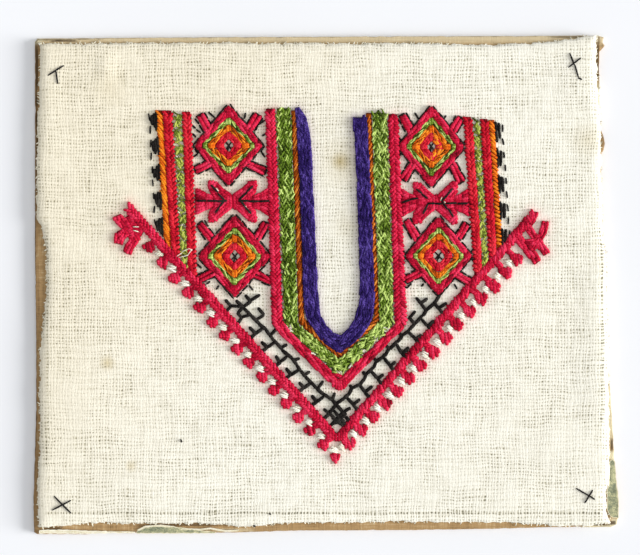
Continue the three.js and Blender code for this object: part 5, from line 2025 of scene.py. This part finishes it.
class SAMPLE_OT_medallions(bpy.types.Operator):
    """Stitch the four diamond medallions, ring by ring, and their thin black outlines"""

    bl_idname = "sample.medallions"
    bl_label = "Medallions"

    def execute(self, context):
        wools = {"green": "green_wool", "orange": "orange_wool", "crimson_heart": "red_wool"}
        for i, medallion in enumerate(MEDALLIONS):
            chart = crimson_diamond(medallion, 100 + i)
            name = f"{medallion}_diamond_stitches"
            stitched(name, chart, "crimson_wool", [f"{medallion}_crimson"], 0.8, seed_step=30 + i)
            for k, (ring, wool) in enumerate(wools.items()):
                chart = coloured_ring(medallion, ring, 110 + 4 * i + k)
                name = f"{medallion}_{ring}_stitches"
                stitched(name, chart, wool, [f"{medallion}_{ring}"], 0.4, seed_step=40 + 4 * i + k)
        stitched("black_outline_stitches", black_outlines(), "black_wool", fuzz=0.2, spread=0.8)
        return {"FINISHED"}


class SAMPLE_OT_motifs(bpy.types.Operator):
    """Stitch the two branching motifs between the medallions"""

    bl_idname = "sample.motifs"
    bl_label = "Branch Motifs"

    def execute(self, context):
        for i, side in enumerate(BRANCH_MOTIFS):
            chart = branch_motif(side, 130 + i)
            name = f"{side}_motif_stitches"
            stitched(name, chart, "crimson_wool", [f"{side}_branch_motif"], 0.9, seed_step=60 + i)
        return {"FINISHED"}


class SAMPLE_OT_border(bpy.types.Operator):
    """Stitch the pointed lower border with its knobs and end motifs"""

    bl_idname = "sample.border"
    bl_label = "Lower Border"

    def execute(self, context):
        stitched("lower_border_stitches", lower_border(), "crimson_wool", ["lower_border"], 1.0, 1.3)
        return {"FINISHED"}


class SAMPLE_OT_branches(bpy.types.Operator):
    """Stitch the black branches inside the lower border"""

    bl_idname = "sample.branches"
    bl_label = "Black Branches"

    def execute(self, context):
        stitched("black_branch_stitches", black_branches(), "black_wool", ["black_branches"], 0.6, 0.8)
        return {"FINISHED"}


class SAMPLE_OT_stage(bpy.types.Operator):
    """Lay the floor, hang the lights and set the camera straight above"""

    bl_idname = "sample.stage"
    bl_label = "Stage"

    def execute(self, context):
        scene = context.scene
        stage = scene.sample_stage
        corners = [(x * FLOOR_REACH, y * FLOOR_REACH, 0) for x, y in ((-1, -1), (1, -1), (1, 1), (-1, 1))]
        floor = mesh_piece("floor", corners, [(0, 1, 2, 3)])
        floor.data.materials.append(floor_material(tuple(stage.floor)))
        low = (math.cos(stage.key_height), -0.12 * math.cos(stage.key_height), math.sin(stage.key_height))
        add_light("key_light", stage.key_strength, low, stage.key_softness)
        add_light("fill_light", stage.fill_strength, (0.1, -0.1, 1.0), 1.2)
        world = bpy.data.worlds.new("studio")
        world.use_nodes = True
        sky = world.node_tree.nodes["Background"].inputs
        sky["Color"].default_value = (0.96, 0.98, 1.0, 1)
        sky["Strength"].default_value = stage.world_light
        scene.world = world
        camera = bpy.data.objects.new("camera", bpy.data.cameras.new("camera"))
        scene.collection.objects.link(camera)
        camera.location = (stage.camera_x, stage.camera_y, stage.camera_height)
        camera.data.lens = stage.lens
        camera.data.sensor_width = 36
        camera.data.clip_start, camera.data.clip_end = 0.01, 20
        scene.camera = camera
        scene.view_settings.view_transform = "Standard"
        scene.view_settings.look = "None"
        return {"FINISHED"}


def add_light(name, strength, side, breadth):
    """A distant soft light from the given side."""
    light = bpy.data.lights.new(name, "SUN")
    light.energy = strength
    light.angle = breadth
    lamp = bpy.data.objects.new(name, light)
    lamp.location = Vector(side)
    lamp.rotation_euler = (-Vector(side)).to_track_quat("-Z", "Y").to_euler()
    bpy.context.scene.collection.objects.link(lamp)


class SAMPLE_PT_panel(bpy.types.Panel):
    """The sample's settings and the operators that build its pieces"""

    bl_idname = "SAMPLE_PT_panel"
    bl_label = "Embroidered Neckline Sample"
    bl_space_type = "VIEW_3D"
    bl_region_type = "UI"
    bl_category = "Embroidery"

    def draw(self, context):
        scene = context.scene
        for settings in (scene.sample_wool, scene.sample_cloth, scene.sample_card, scene.sample_stage):
            box = self.layout.box()
            for name in settings.__annotations__:
                box.prop(settings, name)
        for operator in OPERATORS:
            self.layout.operator(operator.bl_idname)


OPERATORS = (
    SAMPLE_OT_card,
    SAMPLE_OT_papers,
    SAMPLE_OT_cloth,
    SAMPLE_OT_tacks,
    SAMPLE_OT_neck,
    SAMPLE_OT_columns,
    SAMPLE_OT_medallions,
    SAMPLE_OT_motifs,
    SAMPLE_OT_border,
    SAMPLE_OT_branches,
    SAMPLE_OT_stage,
)
SETTINGS = {
    "sample_wool": WoolSettings,
    "sample_cloth": ClothSettings,
    "sample_card": CardSettings,
    "sample_stage": StageSettings,
}


def register():
    for group in SETTINGS.values():
        bpy.utils.register_class(group)
    for operator in OPERATORS:
        bpy.utils.register_class(operator)
    bpy.utils.register_class(SAMPLE_PT_panel)
    for name, group in SETTINGS.items():
        setattr(bpy.types.Scene, name, PointerProperty(type=group))


def unregister():
    for name in SETTINGS:
        delattr(bpy.types.Scene, name)
    for made in (SAMPLE_PT_panel, *reversed(OPERATORS), *SETTINGS.values()):
        bpy.utils.unregister_class(made)


def main():
    register()
    for name in ("Cube", "Light", "Camera"):
        if name in bpy.data.objects:
            bpy.data.objects.remove(bpy.data.objects[name])
    bpy.ops.sample.stage()
    bpy.ops.sample.card()
    bpy.ops.sample.papers()
    bpy.ops.sample.cloth()
    bpy.ops.sample.tacks()
    bpy.ops.sample.neck()
    bpy.ops.sample.columns()
    bpy.ops.sample.medallions()
    bpy.ops.sample.motifs()
    bpy.ops.sample.border()
    bpy.ops.sample.branches()
    for name in ("yarn", "fibre"):
        bpy.data.objects.remove(SHARED.pop(name))


if __name__ == "__main__":
    main()
